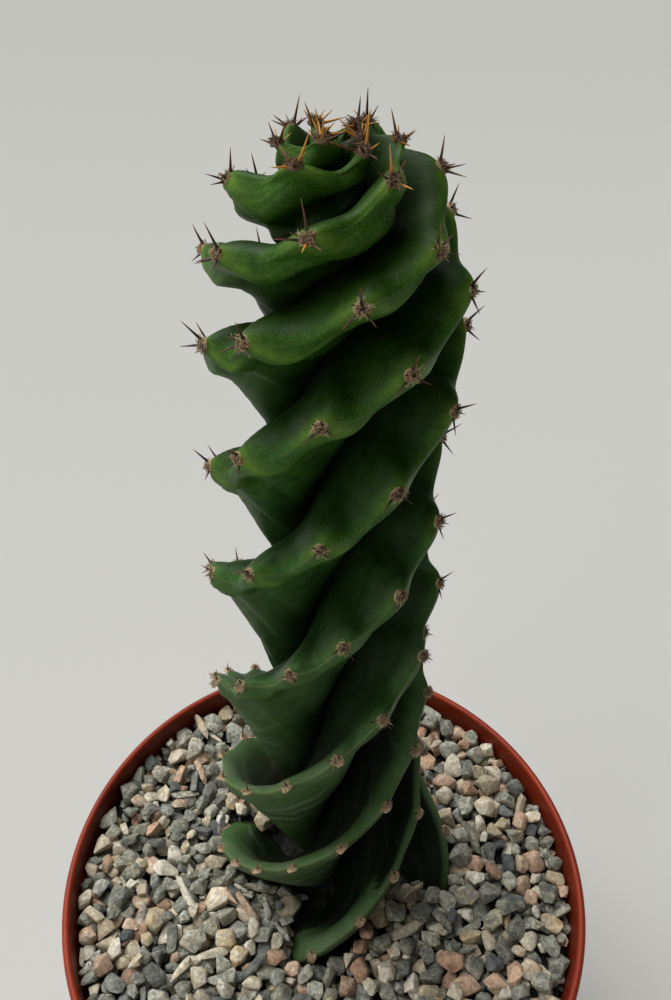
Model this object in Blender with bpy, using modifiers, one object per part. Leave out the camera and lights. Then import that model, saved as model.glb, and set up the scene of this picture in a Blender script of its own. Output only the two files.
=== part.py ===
# Spiral cactus in a round plastic pot, with a soil plug and a top layer of gravel.
# Metres, +Z up, origin at the centre of the pot's foot. The front of the plant faces -Y.
import math
import random

import bmesh
import bpy
import numpy as np
from mathutils import Matrix, Vector

# Driving dimensions
MM = 0.001
GAP = 0.0003                # clearance between neighbouring pieces
ROUND_SIDES = 44            # flats round each turned piece
SLIVER = 0.000005           # edges shorter than this are closed up

POT_HEIGHT = 0.112
RIM_RADIUS = 0.065          # outer radius at the top edge
FOOT_RADIUS = 0.045
WALL = 0.0018
LIP_WALL = 0.0023
LIP_HEIGHT = 0.014          # depth of the collar under the rim
COLLAR_STEP = 0.004         # how far the collar stands out past the wall's taper
COLLAR_DRAFT = 0.0006       # how much narrower the collar is at its lower edge
COLLAR_LEDGE = 0.0012       # height and depth of the slope inside, at the collar's foot
POT_EDGE = 0.0007           # bevel on the pot's edges
BASE_THICKNESS = 0.0025
FOOT_RECESS = 0.002         # the base is raised this far inside the foot ring
FOOT_RING = 0.006
DRAIN_HOLES = 6
DRAIN_RADIUS = 0.004
DRAIN_CIRCLE = 0.027
DRAIN_START = 19.0          # bearing of the first hole, in degrees

GRAVEL_TOP = POT_HEIGHT - 0.0065
GRAVEL_DEPTH = 0.011
STONE_SIZE = 0.0100         # mean stone length
STONE_HEIGHT = 0.0042
STONE_PITCH = 0.0086        # distance between neighbouring stones
STONE_SHIFT = 0.0010        # most that a stone lies off its place, each way
STONE_SINK = 0.0024         # the bed's flat top lies this far under the gravel line
STONE_LIFT = 0.0005         # most that a stone lies higher or lower than its neighbours
STONE_TIP = 14.0            # most that a stone is tipped, in degrees
STONE_UNDERLAP = 0.0010     # stones reach this far under the stem's outline before it is cut
STONE_SEED = 7

RIBS = 4
STEM_FOOT = (-0.00105, 0.01195)     # where the line of the stem's axis meets the gravel
STEM_LEAN = (0.012, 0.0106)         # sideways drift of the axis for each metre of height
STEM_BOW = (-0.0009, 0.0005)        # sideways bulge of the axis at half height
STEM_HEIGHT = 0.182
FOOT_SHIFT = (0.0026, -0.0026)      # the foot stands this far to one side of the axis
FOOT_REACH = 0.034                  # and swings into line over this height
NECK_RADIUS = 0.0075
NECK_END_RADIUS = 0.00675
NECK_DEPTH = 0.036                  # length of the neck below the gravel line

# How a rib's outline runs round the stem, from the valley above it to the valley below it.
# High up a short shelf lies over a long slope; the old ribs below are slim fins.
UPPER_ANGLE = (25.0, 14.0)  # degrees from the crest to the valley above, at the foot and high up
SHELF_POWER = (2.8, 1.0)    # how fast the flesh thins above the crest, likewise
FLANK_POWER = ((0, 2.2), (14, 1.35), (40, 1.1), (115, 1.0))    # level and power, below it
SLIM_LEVELS = (45.0, 115.0) # the change runs between these levels
UPPER_BLUNT = 0.45
UPPER_BULGE = 0.95
LOWER_BLUNT = 0.17
LOWER_BULGE = 1.2
BOWL = 0.0055               # how much deeper the old ribs are dished behind the crest
BOWL_START = (-3.0, 12.0)   # the bowls begin between these levels
BOWL_LEVELS = (62.0, 100.0) # and fade out between these
NOSE_RISE = (0.0004, 0.0013)            # swelling of the flesh above the crest, low and high
NOSE_REACH = 0.24           # share of the rib's depth that the swelling takes
CROWN_FULLNESS = 12.0       # degrees by which the young ribs are thicker above the crest
FOOT_SPREAD = (0.0030, 0.0, 0.0, 0.0)   # how much further each rib's foot reaches out
CUTTER_LEVEL = 46.0         # top of the ribs' lower part that is cut out of the gravel
COLUMNS = (-1.0, -0.5, -0.18, 0.01, 0.13, 0.32, 0.56, 0.8)     # loft columns, see crest_share
ROW_STEP = 0.0058           # distance between loft rows, along a rib's crest

# The ribs' loft: level, crest height, crest radius, valley height, valley radius, all in
# millimetres from the gravel line and the stem's axis, and the turn of the ribs in degrees.
# The level is the crest's height up to the shoulder, and goes on rising over the crown.
STATIONS = (
    (-9.8, -9.8, 7.5, -9.8, 7.5, 60),
    (-8.4, -8.4, 20.0, -9.4, 8.2, 63),
    (-5.0, -5.0, 27.5, -8.0, 8.0, 70),
    (0.0, 0.0, 28.5, -7.0, 7.0, 79),
    (13.0, 13.0, 26.6, 0.5, 6.0, 113),
    (26.0, 26.0, 25.0, 10.0, 5.4, 152),
    (52.0, 52.0, 23.0, 36.0, 5.0, 232),
    (78.0, 78.0, 22.6, 66.0, 4.8, 297),
    (104.0, 104.0, 21.5, 99.0, 4.6, 373),
    (130.0, 129.0, 19.9, 130.0, 4.9, 464),
    (156.0, 155.6, 20.6, 156.0, 5.6, 570),
    (169.0, 168.2, 18.4, 166.5, 6.4, 653),
    (176.5, 175.3, 15.2, 170.5, 6.4, 714),
    (182.0, 180.7, 10.3, 174.2, 5.0, 766),
    (187.0, 181.2, 7.7, 176.0, 3.6, 814),
    (191.0, 182.8, 4.8, 177.6, 2.3, 854),
    (194.0, 182.6, 2.1, 179.6, 1.1, 890),
)

# Where the spine cushions sit along each rib: number of the cushion and its level in mm.
# Those between are spread smoothly.
CUSHION_ANCHORS = (
    ((0, -14.0), (1, -3.6), (2, 5.4), (11, 85.5), (12, 95.0), (13, 102.8), (14, 111.2), (15, 120.2),
     (21, 170.1), (22, 175.6), (23, 180.7), (24, 187.4), (25, 192.2), (26, 196.0)),
    ((0, -20.0), (2, 0.9), (3, 11.2), (4, 19.1), (5, 28.2), (13, 107.0), (14, 116.1), (15, 125.6),
     (16, 134.7), (17, 143.9), (22, 177.4), (23, 183.0), (24, 189.4), (25, 193.5), (26, 197.0)),
    ((0, -10.0), (3, 17.9), (4, 23.6), (5, 30.4), (6, 38.6), (7, 47.1), (8, 56.0), (9, 65.0),
     (16, 130.7), (17, 139.8), (18, 149.2), (19, 156.1), (20, 163.1), (23, 180.9), (24, 186.8),
     (25, 192.0), (26, 196.5)),
    ((0, -16.0), (3, 14.0), (7, 50.6), (8, 60.0), (9, 70.6), (10, 79.3), (11, 88.9), (12, 98.2),
     (17, 146.0), (18, 155.7), (19, 160.1), (20, 167.2), (21, 172.2), (22, 178.2), (23, 184.3),
     (24, 190.6), (25, 193.8), (26, 197.0)),
)
FIRST_CUSHION = 4.0                 # level of the lowest that stands clear of the gravel
LAST_CUSHION = 186.0                # level of the youngest that is large enough to model
CUSHION_RADIUS = 0.0013
CUSHION_TOP = 0.0008
CUSHION_SINK = 0.0014               # how deep a cushion's root sits in the flesh
CUSHION_LIFT = 0.0006               # how far its top stands out
CREST_WAVE = 0.0015                 # rise of the crest at each cushion, and its fall between
CREST_SWELL = 0.0008                # the same, outwards
CROWN_WAVE = 0.0009                 # the rise and fall over the crown
LOW_WAVE = 0.3                      # share of the wave that the old ribs have
WAVE_START = 20.0                   # it grows from nothing to that share up to this level
WAVE_LEVELS = (40.0, 90.0)          # and to the whole between these levels
CROWN_START = 150.0                 # from here it grows to its crown size
CROWN_FULL = 175.0
CENTRE_RADIUS = 10.0                # and it fades where the crest is nearer the centre, in mm
SPINE_LENGTH = (0.0034, 0.0046)     # old spines near the gravel, young spines at the crown
YOUNG_SPINES = 3                    # spines to a cushion on the upper stem
OLD_SPINES = 2                      # and lower down, where some have broken off
YOUNG_LEVEL = 118.0                 # level from which cushions carry all their spines
SPINE_TILT = 48.0                   # degrees away from straight out
SPINE_SPREAD = 10.0                 # most that one spine differs from that
SPINE_SEED = 22


def clear_scene():
    for old in list(bpy.data.objects):
        bpy.data.objects.remove(old, do_unlink=True)


def make_collection(name):
    collection = bpy.data.collections.new(name)
    bpy.context.scene.collection.children.link(collection)
    return collection


def make_material(name, colour, roughness, metallic=0.0):
    material = bpy.data.materials.new(name)
    material.use_nodes = True
    shader = material.node_tree.nodes["Principled BSDF"]
    shader.inputs["Base Color"].default_value = (*colour, 1.0)
    shader.inputs["Roughness"].default_value = roughness
    shader.inputs["Metallic"].default_value = metallic
    return material


def make_object(name, mesh, collection, material=None):
    piece = bpy.data.objects.new(name, mesh)
    collection.objects.link(piece)
    if material:
        mesh.materials.append(material)
    return piece


def mesh_from(bm, name):
    mesh = bpy.data.meshes.new(name)
    bm.to_mesh(mesh)
    bm.free()
    return mesh


def turned_piece(name, profile, collection, material=None):
    """A closed profile of (radius, height) points, turned round the Z axis."""
    bm = bmesh.new()
    points = [bm.verts.new((radius, 0.0, height)) for radius, height in profile]
    for start, end in zip(points, points[1:] + points[:1]):
        on_axis = start.co.x == 0.0 and end.co.x == 0.0
        if not on_axis:
            bm.edges.new((start, end))
    piece = make_object(name, mesh_from(bm, name), collection, material)
    screw = piece.modifiers.new("Turn", "SCREW")
    screw.steps = screw.render_steps = ROUND_SIDES
    screw.use_merge_vertices = True
    screw.merge_threshold = 0.00001
    return piece


def apply_modifiers(piece):
    depsgraph = bpy.context.evaluated_depsgraph_get()
    mesh = bpy.data.meshes.new_from_object(piece.evaluated_get(depsgraph))
    piece.modifiers.clear()
    piece.data = mesh


def remove_collection(collection):
    for piece in list(collection.objects):
        bpy.data.objects.remove(piece, do_unlink=True)
    bpy.data.collections.remove(collection)


def fuse_repeats(piece, repeats):
    """Join a collection of small solids to the piece they grow from."""
    union = piece.modifiers.new("Fuse", "BOOLEAN")
    union.operation = "UNION"
    union.solver = "MANIFOLD"       # EXACT leaves open edges among so many small cones
    union.operand_type = "COLLECTION"
    union.collection = repeats
    apply_modifiers(piece)
    remove_collection(repeats)


def cut(piece, cutter):
    difference = piece.modifiers.new("Cut " + cutter.name, "BOOLEAN")
    difference.operation = "DIFFERENCE"
    difference.object = cutter


def tidy_body(piece):
    """Close up the slivers that a Boolean leaves, and drop its loose scraps."""
    bm = bmesh.new()
    bm.from_mesh(piece.data)
    bmesh.ops.dissolve_degenerate(bm, edges=bm.edges[:], dist=SLIVER)
    seen = set()
    bodies = []
    for vertex in bm.verts:
        if vertex in seen:
            continue
        body = [vertex]
        seen.add(vertex)
        for member in body:
            for edge in member.link_edges:
                other = edge.other_vert(member)
                if other not in seen:
                    seen.add(other)
                    body.append(other)
        bodies.append(body)
    bodies.sort(key=len)
    scraps = [vertex for body in bodies[:-1] for vertex in body]
    bmesh.ops.delete(bm, geom=scraps, context="VERTS")
    bm.to_mesh(piece.data)
    bm.free()


def smooth_through(knots, values, at):
    """A smooth curve through the knots, read at the given places."""
    knots = np.asarray(knots, float)
    values = np.asarray(values, float)
    at = np.asarray(at, float)
    width = np.diff(knots)
    slope = np.diff(values) / width
    inner = (slope[:-1] * width[1:] + slope[1:] * width[:-1]) / (width[:-1] + width[1:])
    tangent = np.concatenate([slope[:1], inner, slope[-1:]])
    cell = np.clip(np.searchsorted(knots, at) - 1, 0, len(knots) - 2)
    t = (at - knots[cell]) / width[cell]
    start = values[cell] * (1 + 2 * t) * (1 - t) ** 2
    end = values[cell + 1] * t * t * (3 - 2 * t)
    bend = width[cell] * t * (1 - t) * (tangent[cell] * (1 - t) - tangent[cell + 1] * t)
    return start + end + bend


# Pot: thin moulded plastic, with a collar under the rim, a foot ring and drain holes

def pot_inner_radius(height):
    """Radius of the pot's inner wall, with a ledge where the collar starts."""
    collar = POT_HEIGHT - LIP_HEIGHT
    taper = (RIM_RADIUS - FOOT_RADIUS - COLLAR_STEP) / collar
    below = FOOT_RADIUS - WALL + taper * min(height, collar)
    if height < collar:
        return below
    share = (height - collar) / LIP_HEIGHT
    top = RIM_RADIUS - LIP_WALL
    return top - (1 - share) * COLLAR_LEDGE


def build_pot(collection, cutters):
    plastic = make_material("terracotta_plastic", (0.36, 0.055, 0.022), 0.45)
    collar = POT_HEIGHT - LIP_HEIGHT
    floor = FOOT_RECESS + BASE_THICKNESS
    ledge = COLLAR_LEDGE
    edge = POT_EDGE
    profile = [
        (RIM_RADIUS - edge, POT_HEIGHT),
        (RIM_RADIUS, POT_HEIGHT - edge),
        (RIM_RADIUS - COLLAR_DRAFT, collar + edge),
        (RIM_RADIUS - COLLAR_DRAFT - edge, collar),
        (pot_inner_radius(collar - ledge) + WALL, collar),
        (FOOT_RADIUS, edge),
        (FOOT_RADIUS - edge, 0.0),
        (FOOT_RADIUS - FOOT_RING, 0.0),
        (FOOT_RADIUS - FOOT_RING - edge, FOOT_RECESS),
        (0.0, FOOT_RECESS),
        (0.0, floor),
        (pot_inner_radius(floor), floor),
        (pot_inner_radius(collar - ledge), collar - ledge),
        (pot_inner_radius(collar + ledge), collar + ledge),
        (RIM_RADIUS - LIP_WALL, POT_HEIGHT - edge),
        (RIM_RADIUS - LIP_WALL + edge, POT_HEIGHT),
    ]
    pot = turned_piece("pot", profile, collection, plastic)
    for hole in range(DRAIN_HOLES):
        turn = math.radians(DRAIN_START + 360 * hole / DRAIN_HOLES)
        bm = bmesh.new()
        bmesh.ops.create_cone(bm, cap_ends=True, segments=14, radius1=DRAIN_RADIUS,
                              radius2=DRAIN_RADIUS, depth=0.02)
        cutter = make_object("drain_cutter_%d" % hole, mesh_from(bm, "drain"), cutters)
        cutter.location = (DRAIN_CIRCLE * math.cos(turn), DRAIN_CIRCLE * math.sin(turn), 0.0)
        cutter.hide_render = True
        cutter.display_type = "WIRE"
        cut(pot, cutter)
    apply_modifiers(pot)
    pot.data.shade_smooth()
    pot.data.set_sharp_from_angle(angle=math.radians(35))


# Stem: four ribs wound into a right-handed screw round a slim core

def stem_axis(height):
    """Centre of the stem at a height above the gravel line, in metres."""
    share = np.clip(height / STEM_HEIGHT, 0.0, 1.0)
    bulge = 4 * share * (1 - share)
    rise = np.maximum(height, 0.0)
    swing = (1 - np.clip(height / FOOT_REACH, 0.0, 1.0)) ** 2
    x = STEM_FOOT[0] + STEM_LEAN[0] * rise + STEM_BOW[0] * bulge + FOOT_SHIFT[0] * swing
    y = STEM_FOOT[1] + STEM_LEAN[1] * rise + STEM_BOW[1] * bulge + FOOT_SHIFT[1] * swing
    return x, y


def smooth_step(value, start, end):
    """0 up to the start, 1 from the end on, and an easy slope between."""
    t = np.clip((value - start) / (end - start), 0, 1)
    return t * t * (3 - 2 * t)


def slimness(level, at_foot, high_up):
    """A value that changes smoothly from the old ribs to the young ones."""
    return at_foot + (high_up - at_foot) * smooth_step(level, *SLIM_LEVELS)


def crest_share(level, way):
    """1 on the rib's crest, 0 in the valleys. The way runs from -1 above to 1 below."""
    blunt = np.where(way < 0, UPPER_BLUNT, LOWER_BLUNT)
    bulge = np.where(way < 0, UPPER_BULGE, LOWER_BULGE)
    fall = (np.sqrt(way ** 2 + blunt ** 2) - blunt) / (np.sqrt(1 + blunt ** 2) - blunt)
    power = np.where(way < 0, slimness(level, *SHELF_POWER), np.interp(level, *zip(*FLANK_POWER)))
    return (1 - np.clip(fall, 0, 1) ** bulge) ** power


def crest_angle(level, way):
    """Degrees round the axis from the crest to a place between the valleys."""
    upper = slimness(level, *UPPER_ANGLE) + CROWN_FULLNESS * smooth_step(level, 162.0, 182.0)
    return way * np.where(way < 0, upper, 360 / RIBS - upper)


def sunken(level, way, share):
    """1 deep in the bowls of the old ribs, 0 on their crests and on the young ribs."""
    behind = np.where(way < 0, smooth_step(1 - share, 0.1, 0.42), smooth_step(way, 0.4, 1.0))
    return behind * smooth_step(level, *BOWL_START) * (1 - smooth_step(level, *BOWL_LEVELS))


FINE_LEVELS = np.linspace(STATIONS[0][0], STATIONS[-1][0], 2000)
FINE_TURNS = smooth_through([row[0] for row in STATIONS], [row[5] for row in STATIONS], FINE_LEVELS)


def cushion_number(rib, level):
    numbers, levels = zip(*CUSHION_ANCHORS[rib])
    return smooth_through(levels, numbers, level)


def stem_point(rib, level, way):
    """A point of the flesh: rib 0 to 3, level in mm, way from -1 to 1 across the rib."""
    levels, crest_z, crest_r, valley_z, valley_r, turn = zip(*STATIONS)
    columns = [smooth_through(levels, values, level) for values in
               (crest_z, crest_r, valley_z, valley_r, turn)]
    crest_z, crest_r, valley_z, valley_r, turn = columns
    share = crest_share(level, way)
    turned = turn + crest_angle(level, way)
    over = np.interp(turned, FINE_TURNS, FINE_LEVELS)   # level of the crest above or below
    wave = np.cos(2 * math.pi * cushion_number(rib, over))
    ramp = LOW_WAVE * np.clip(level / WAVE_START, 0, 1)
    ramp = ramp + (1 - LOW_WAVE) * smooth_step(level, *WAVE_LEVELS)
    crown = np.clip((level - CROWN_START) / (CROWN_FULL - CROWN_START), 0, 1)
    rise = (CREST_WAVE + (CROWN_WAVE - CREST_WAVE) * crown) * ramp
    centre_fade = np.clip(crest_r / CENTRE_RADIUS, 0, 1)
    radius = MM * (valley_r + (crest_r - valley_r) * share)
    radius = radius + CREST_SWELL * ramp * centre_fade * wave * share
    spread = smooth_step(level, -9.5, -5.0) * (1 - smooth_step(level, 2.0, 26.0))
    radius = radius + FOOT_SPREAD[rib] * spread * share
    height = MM * (valley_z + (crest_z - valley_z) * share)
    height = height + rise * centre_fade * wave * share
    height = height - BOWL * sunken(level, way, share)
    depth = (1 - share) / NOSE_REACH
    brow = np.sqrt(1 - (1 - np.clip(depth, 0, 1)) ** 2) * (1 - smooth_step(depth, 1.0, 3.2))
    swelling = slimness(level, *NOSE_RISE) * np.clip(crest_r / 20.0, 0, 1)
    height = height + np.where(way < 0, swelling * brow, 0)
    around = np.radians(turned - 90 * rib)
    x, y = stem_axis(height)
    return np.stack([x + radius * np.sin(around), y - radius * np.cos(around),
                     GRAVEL_TOP + height], axis=-1)


def loft_levels():
    """Levels of the loft's rows, evenly spread along a rib's crest."""
    fine = np.linspace(STATIONS[0][0], STATIONS[-1][0], 1200)
    path = stem_point(0, fine, np.zeros_like(fine))
    travelled = np.concatenate([[0], np.cumsum(np.linalg.norm(np.diff(path, axis=0), axis=1))])
    rows = int(round(travelled[-1] / ROW_STEP))
    return np.interp(np.linspace(0, travelled[-1], rows + 1), travelled, fine)


def stem_mesh(name, top_level=None):
    """The lofted ribs, closed by the buried neck below and the sunken centre above."""
    bm = bmesh.new()
    rings = []
    neck = []
    levels = [level for level in loft_levels() if top_level is None or level < top_level]
    for level in levels:
        ring = []
        for rib in reversed(range(RIBS)):
            for way in COLUMNS:
                point = stem_point(rib, np.array(level), np.array(way))
                ring.append(bm.verts.new(point))
        rings.append(ring)
    axis_x, axis_y = stem_axis(np.array(0.0))
    centre = Vector((float(axis_x), float(axis_y), 0))
    for vertex in rings[0]:
        side = vertex.co - centre
        side.z = 0
        foot = centre + side.normalized() * NECK_END_RADIUS
        foot.z = GRAVEL_TOP - NECK_DEPTH
        neck.append(bm.verts.new(foot))
    rings.insert(0, neck)
    count = len(neck)
    for lower, upper in zip(rings, rings[1:]):
        for i in range(count):
            j = (i + 1) % count
            bm.faces.new((lower[i], lower[j], upper[j], upper[i]))
    bm.faces.new(list(reversed(rings[0])))
    bm.faces.new(rings[-1])
    bmesh.ops.triangulate(bm, faces=bm.faces[:], quad_method="SHORT_EDGE")
    bmesh.ops.recalc_face_normals(bm, faces=bm.faces[:])
    return mesh_from(bm, name)


def cushion_levels(rib):
    """Level of each cushion on a rib that stands clear of the gravel."""
    fine = np.linspace(FIRST_CUSHION, LAST_CUSHION, 4000)
    number = cushion_number(rib, fine)
    first = math.ceil(number[0])
    return [float(np.interp(whole, number, fine)) for whole in range(first, int(number[-1]) + 1)]


def cushion_frame(rib, level):
    """A cushion's seat on the crest, and its frame: along the rib, across it, outwards."""
    step = 0.5
    here = Vector(stem_point(rib, np.array(level), np.array(0.0)))
    ahead = Vector(stem_point(rib, np.array(level + step), np.array(0.0)))
    behind = Vector(stem_point(rib, np.array(level - step), np.array(0.0)))
    above = Vector(stem_point(rib, np.array(level), np.array(-0.25)))
    below = Vector(stem_point(rib, np.array(level), np.array(0.1)))
    core = Vector(stem_point(rib, np.array(level), np.array(-1.0)))
    core += Vector(stem_point(rib, np.array(level), np.array(1.0)))
    along = (ahead - behind).normalized()
    out = (above - below).cross(along).normalized()
    if out.dot(here - core / 2) < 0:
        out.negate()
    return here, Matrix((along, out.cross(along), out)).transposed()


def cushion_mesh(centre, frame, spines):
    """A felt cushion sunk in the crest, whose top wedges draw out into (length, tilt) spines."""
    bm = bmesh.new()
    bmesh.ops.create_cone(bm, cap_ends=True, segments=2 * len(spines), radius1=CUSHION_RADIUS,
                          radius2=CUSHION_TOP, depth=CUSHION_SINK + CUSHION_LIFT)
    top = max(bm.faces, key=lambda face: face.calc_center_median().z)
    middle = top.calc_center_median()
    wedges = bmesh.ops.poke(bm, faces=[top])["faces"]
    for wedge, (length, tilt) in zip(wedges[::2], spines):
        side = (wedge.calc_center_median() - middle).normalized()
        way = side * math.sin(tilt) + Vector((0, 0, math.cos(tilt)))
        apex = bm.verts.new(middle + way * length)
        for loop in wedge.loops:
            bm.faces.new((loop.vert, loop.link_loop_next.vert, apex))
        bm.faces.remove(wedge)
    seat = centre + frame.col[2] * (CUSHION_LIFT - CUSHION_SINK) / 2
    for vertex in bm.verts:
        vertex.co = frame @ vertex.co + seat
    bmesh.ops.recalc_face_normals(bm, faces=bm.faces[:])
    return mesh_from(bm, "cushion")


def build_cactus(collection):
    flesh = make_material("cactus_skin", (0.045, 0.11, 0.035), 0.5)
    cactus = make_object("cactus", stem_mesh("cactus"), collection, flesh)
    repeats = make_collection("spines")
    rng = random.Random(SPINE_SEED)
    for rib in range(RIBS):
        for level in cushion_levels(rib):
            centre, frame = cushion_frame(rib, level)
            youth = min(max(level * MM / STEM_HEIGHT, 0.0), 1.0)
            length = SPINE_LENGTH[0] + (SPINE_LENGTH[1] - SPINE_LENGTH[0]) * youth
            spines = []
            for _ in range(YOUNG_SPINES if level > YOUNG_LEVEL else OLD_SPINES):
                tilt = math.radians(SPINE_TILT + rng.uniform(-1, 1) * SPINE_SPREAD)
                spines.append((length * rng.uniform(0.85, 1.1), tilt))
            make_object("cushion", cushion_mesh(centre, frame, spines), repeats)
    fuse_repeats(cactus, repeats)
    tidy_body(cactus)
    cactus.data.shade_smooth()
    cactus.data.set_sharp_from_angle(angle=math.radians(40))


# Soil: a plug that fills the pot up to the gravel, with a plain hole for the stem's neck

def build_soil(collection, cutters):
    peat = make_material("potting_soil", (0.03, 0.018, 0.01), 0.95)
    bottom = FOOT_RECESS + BASE_THICKNESS + GAP
    top = GRAVEL_TOP - GRAVEL_DEPTH - GAP
    clear = 1.5 * GAP
    profile = [
        (0.0, top),
        (pot_inner_radius(top) - clear, top),
        (pot_inner_radius(bottom) - clear, bottom),
        (0.0, bottom),
    ]
    soil = turned_piece("soil", profile, collection, peat)
    bm = bmesh.new()
    depth = NECK_DEPTH - GRAVEL_DEPTH + 0.002
    bmesh.ops.create_cone(bm, cap_ends=True, segments=ROUND_SIDES, depth=2 * depth,
                          radius1=NECK_RADIUS + 2 * GAP, radius2=NECK_RADIUS + 2 * GAP)
    cutter = make_object("neck_cutter", mesh_from(bm, "neck"), cutters)
    axis_x, axis_y = stem_axis(np.array(0.0))
    cutter.location = (float(axis_x), float(axis_y), top)
    cutter.hide_render = True
    cutter.display_type = "WIRE"
    cut(soil, cutter)
    apply_modifiers(soil)


# Gravel: a bed that fills the pot round the stem, with stones standing out of its top

def stone_mesh(centre, size, rng):
    """A blunt angular pebble, five-sided, tipped a little and held inside the pot's wall."""
    bm = bmesh.new()
    bmesh.ops.create_cone(bm, cap_ends=True, segments=5, radius1=size / 2,
                          radius2=size * rng.uniform(0.28, 0.38), depth=STONE_HEIGHT)
    tip = Matrix.Rotation(rng.uniform(0, math.tau), 3, "Z")
    tip = Matrix.Rotation(math.radians(rng.uniform(-1, 1) * STONE_TIP), 3, "X") @ tip
    tip = Matrix.Rotation(rng.uniform(0, math.tau), 3, "Z") @ tip
    stretch = rng.uniform(0.75, 1.0)
    for vertex in bm.verts:
        dent = rng.uniform(0.9, 1.1)
        vertex.co = tip @ Vector((vertex.co.x * dent, vertex.co.y * dent * stretch, vertex.co.z))
        vertex.co += centre
        reach = math.hypot(vertex.co.x, vertex.co.y)
        limit = pot_inner_radius(vertex.co.z) - 2 * GAP
        if reach > limit:
            vertex.co.x *= limit / reach
            vertex.co.y *= limit / reach
    bmesh.ops.triangulate(bm, faces=bm.faces[:])
    return mesh_from(bm, "stone")


def inside_stem(x, y):
    """True where a stone's centre would fall inside the ribs."""
    axis_x, axis_y = stem_axis(np.array(0.0))
    dx = x - float(axis_x)
    dy = y - float(axis_y)
    around = math.degrees(math.atan2(dx, -dy))
    turn = STATIONS[3][5]
    upper = UPPER_ANGLE[0]
    angle = (around - turn + upper) % 90 - upper
    way = angle / upper if angle < 0 else angle / (90 - upper)
    share = float(crest_share(0.0, np.array(way)))
    radius = STATIONS[3][4] + (STATIONS[3][2] - STATIONS[3][4]) * share
    return math.hypot(dx, dy) < MM * radius - STONE_UNDERLAP


def stone_places(rng):
    """A jittered honeycomb of stone centres that covers the pot's mouth."""
    places = []
    reach = pot_inner_radius(GRAVEL_TOP) - 0.35 * STONE_SIZE
    rows = int(reach / STONE_PITCH) + 2
    for row in range(-rows, rows + 1):
        for column in range(-rows, rows + 1):
            x = (column + 0.5 * (row % 2)) * STONE_PITCH + rng.uniform(-1, 1) * STONE_SHIFT
            y = row * STONE_PITCH * math.sqrt(3) / 2 + rng.uniform(-1, 1) * STONE_SHIFT
            if math.hypot(x, y) < reach and not inside_stem(x, y):
                places.append((x, y))
    return places


def build_gravel(collection, cutters):
    grit = make_material("gravel_stone", (0.24, 0.24, 0.21), 0.8)
    bottom = GRAVEL_TOP - GRAVEL_DEPTH
    top = GRAVEL_TOP - STONE_SINK
    collar = POT_HEIGHT - LIP_HEIGHT
    clear = 1.5 * GAP
    profile = [(0.0, top), (pot_inner_radius(top) - clear, top)]
    for height in (collar + COLLAR_LEDGE, collar - COLLAR_LEDGE, bottom):
        profile.append((pot_inner_radius(height) - clear, height))
    profile.append((0.0, bottom))
    gravel = turned_piece("gravel", profile, collection, grit)
    apply_modifiers(gravel)
    stones = make_collection("stones")
    rng = random.Random(STONE_SEED)
    for x, y in stone_places(rng):
        centre = Vector((x, y, top + 0.35 * STONE_HEIGHT + rng.uniform(-1, 1) * STONE_LIFT))
        size = STONE_SIZE * rng.uniform(0.85, 1.1)
        make_object("stone", stone_mesh(centre, size, rng), stones)
    fuse_repeats(gravel, stones)
    cutter = make_object("stem_cutter", stem_mesh("stem_cutter", top_level=CUTTER_LEVEL), cutters)
    for vertex in cutter.data.vertices:
        vertex.co += vertex.normal * 1.5 * GAP
    cutter.hide_render = True
    cutter.display_type = "WIRE"
    cut(gravel, cutter)
    apply_modifiers(gravel)
    tidy_body(gravel)


clear_scene()
parts = make_collection("spiral_cactus")
cutters = make_collection("cutters")
build_pot(parts, cutters)
build_soil(parts, cutters)
build_gravel(parts, cutters)
build_cactus(parts)
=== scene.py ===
import math
import random

import bmesh
import bpy
import numpy as np
from mathutils import Matrix, Vector, noise


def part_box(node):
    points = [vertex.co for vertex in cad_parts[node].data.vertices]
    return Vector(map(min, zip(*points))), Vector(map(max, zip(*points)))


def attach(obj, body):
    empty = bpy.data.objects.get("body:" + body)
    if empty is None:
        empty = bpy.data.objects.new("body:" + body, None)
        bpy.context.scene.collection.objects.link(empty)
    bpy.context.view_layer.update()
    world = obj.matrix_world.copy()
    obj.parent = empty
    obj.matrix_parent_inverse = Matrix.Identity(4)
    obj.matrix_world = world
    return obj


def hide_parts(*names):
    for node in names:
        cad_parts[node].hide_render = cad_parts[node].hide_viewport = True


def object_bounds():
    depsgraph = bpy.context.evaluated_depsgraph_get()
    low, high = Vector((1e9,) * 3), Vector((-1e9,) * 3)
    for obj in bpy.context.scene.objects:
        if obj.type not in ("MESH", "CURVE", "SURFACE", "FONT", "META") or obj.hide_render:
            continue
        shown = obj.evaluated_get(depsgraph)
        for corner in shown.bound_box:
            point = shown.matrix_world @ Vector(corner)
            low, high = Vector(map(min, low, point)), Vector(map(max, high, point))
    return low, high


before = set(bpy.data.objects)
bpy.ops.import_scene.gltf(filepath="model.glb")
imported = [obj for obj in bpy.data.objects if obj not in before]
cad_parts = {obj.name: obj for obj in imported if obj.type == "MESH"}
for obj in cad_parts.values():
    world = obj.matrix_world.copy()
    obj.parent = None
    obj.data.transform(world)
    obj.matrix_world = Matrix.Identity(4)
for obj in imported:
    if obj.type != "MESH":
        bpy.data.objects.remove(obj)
cad_low, cad_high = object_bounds()

# Camera: held by hand close in front of the plant and a little above its tip, looking down at
# the crown and the gravel. Its place follows from the ellipse that the pot's rim makes.

CAMERA_PLACE = (0.0, -0.1048, 0.3263)
CAMERA_DOWN = 40.72         # degrees below level
CAMERA_TURN = 0.60          # degrees to the right
CAMERA_ROLL = 0.96
FOCAL_LENGTH = 31.07        # on a frame 36 mm high
NEAR_LIMIT = 0.01           # the plant's tip is some 12 cm from the lens

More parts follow.
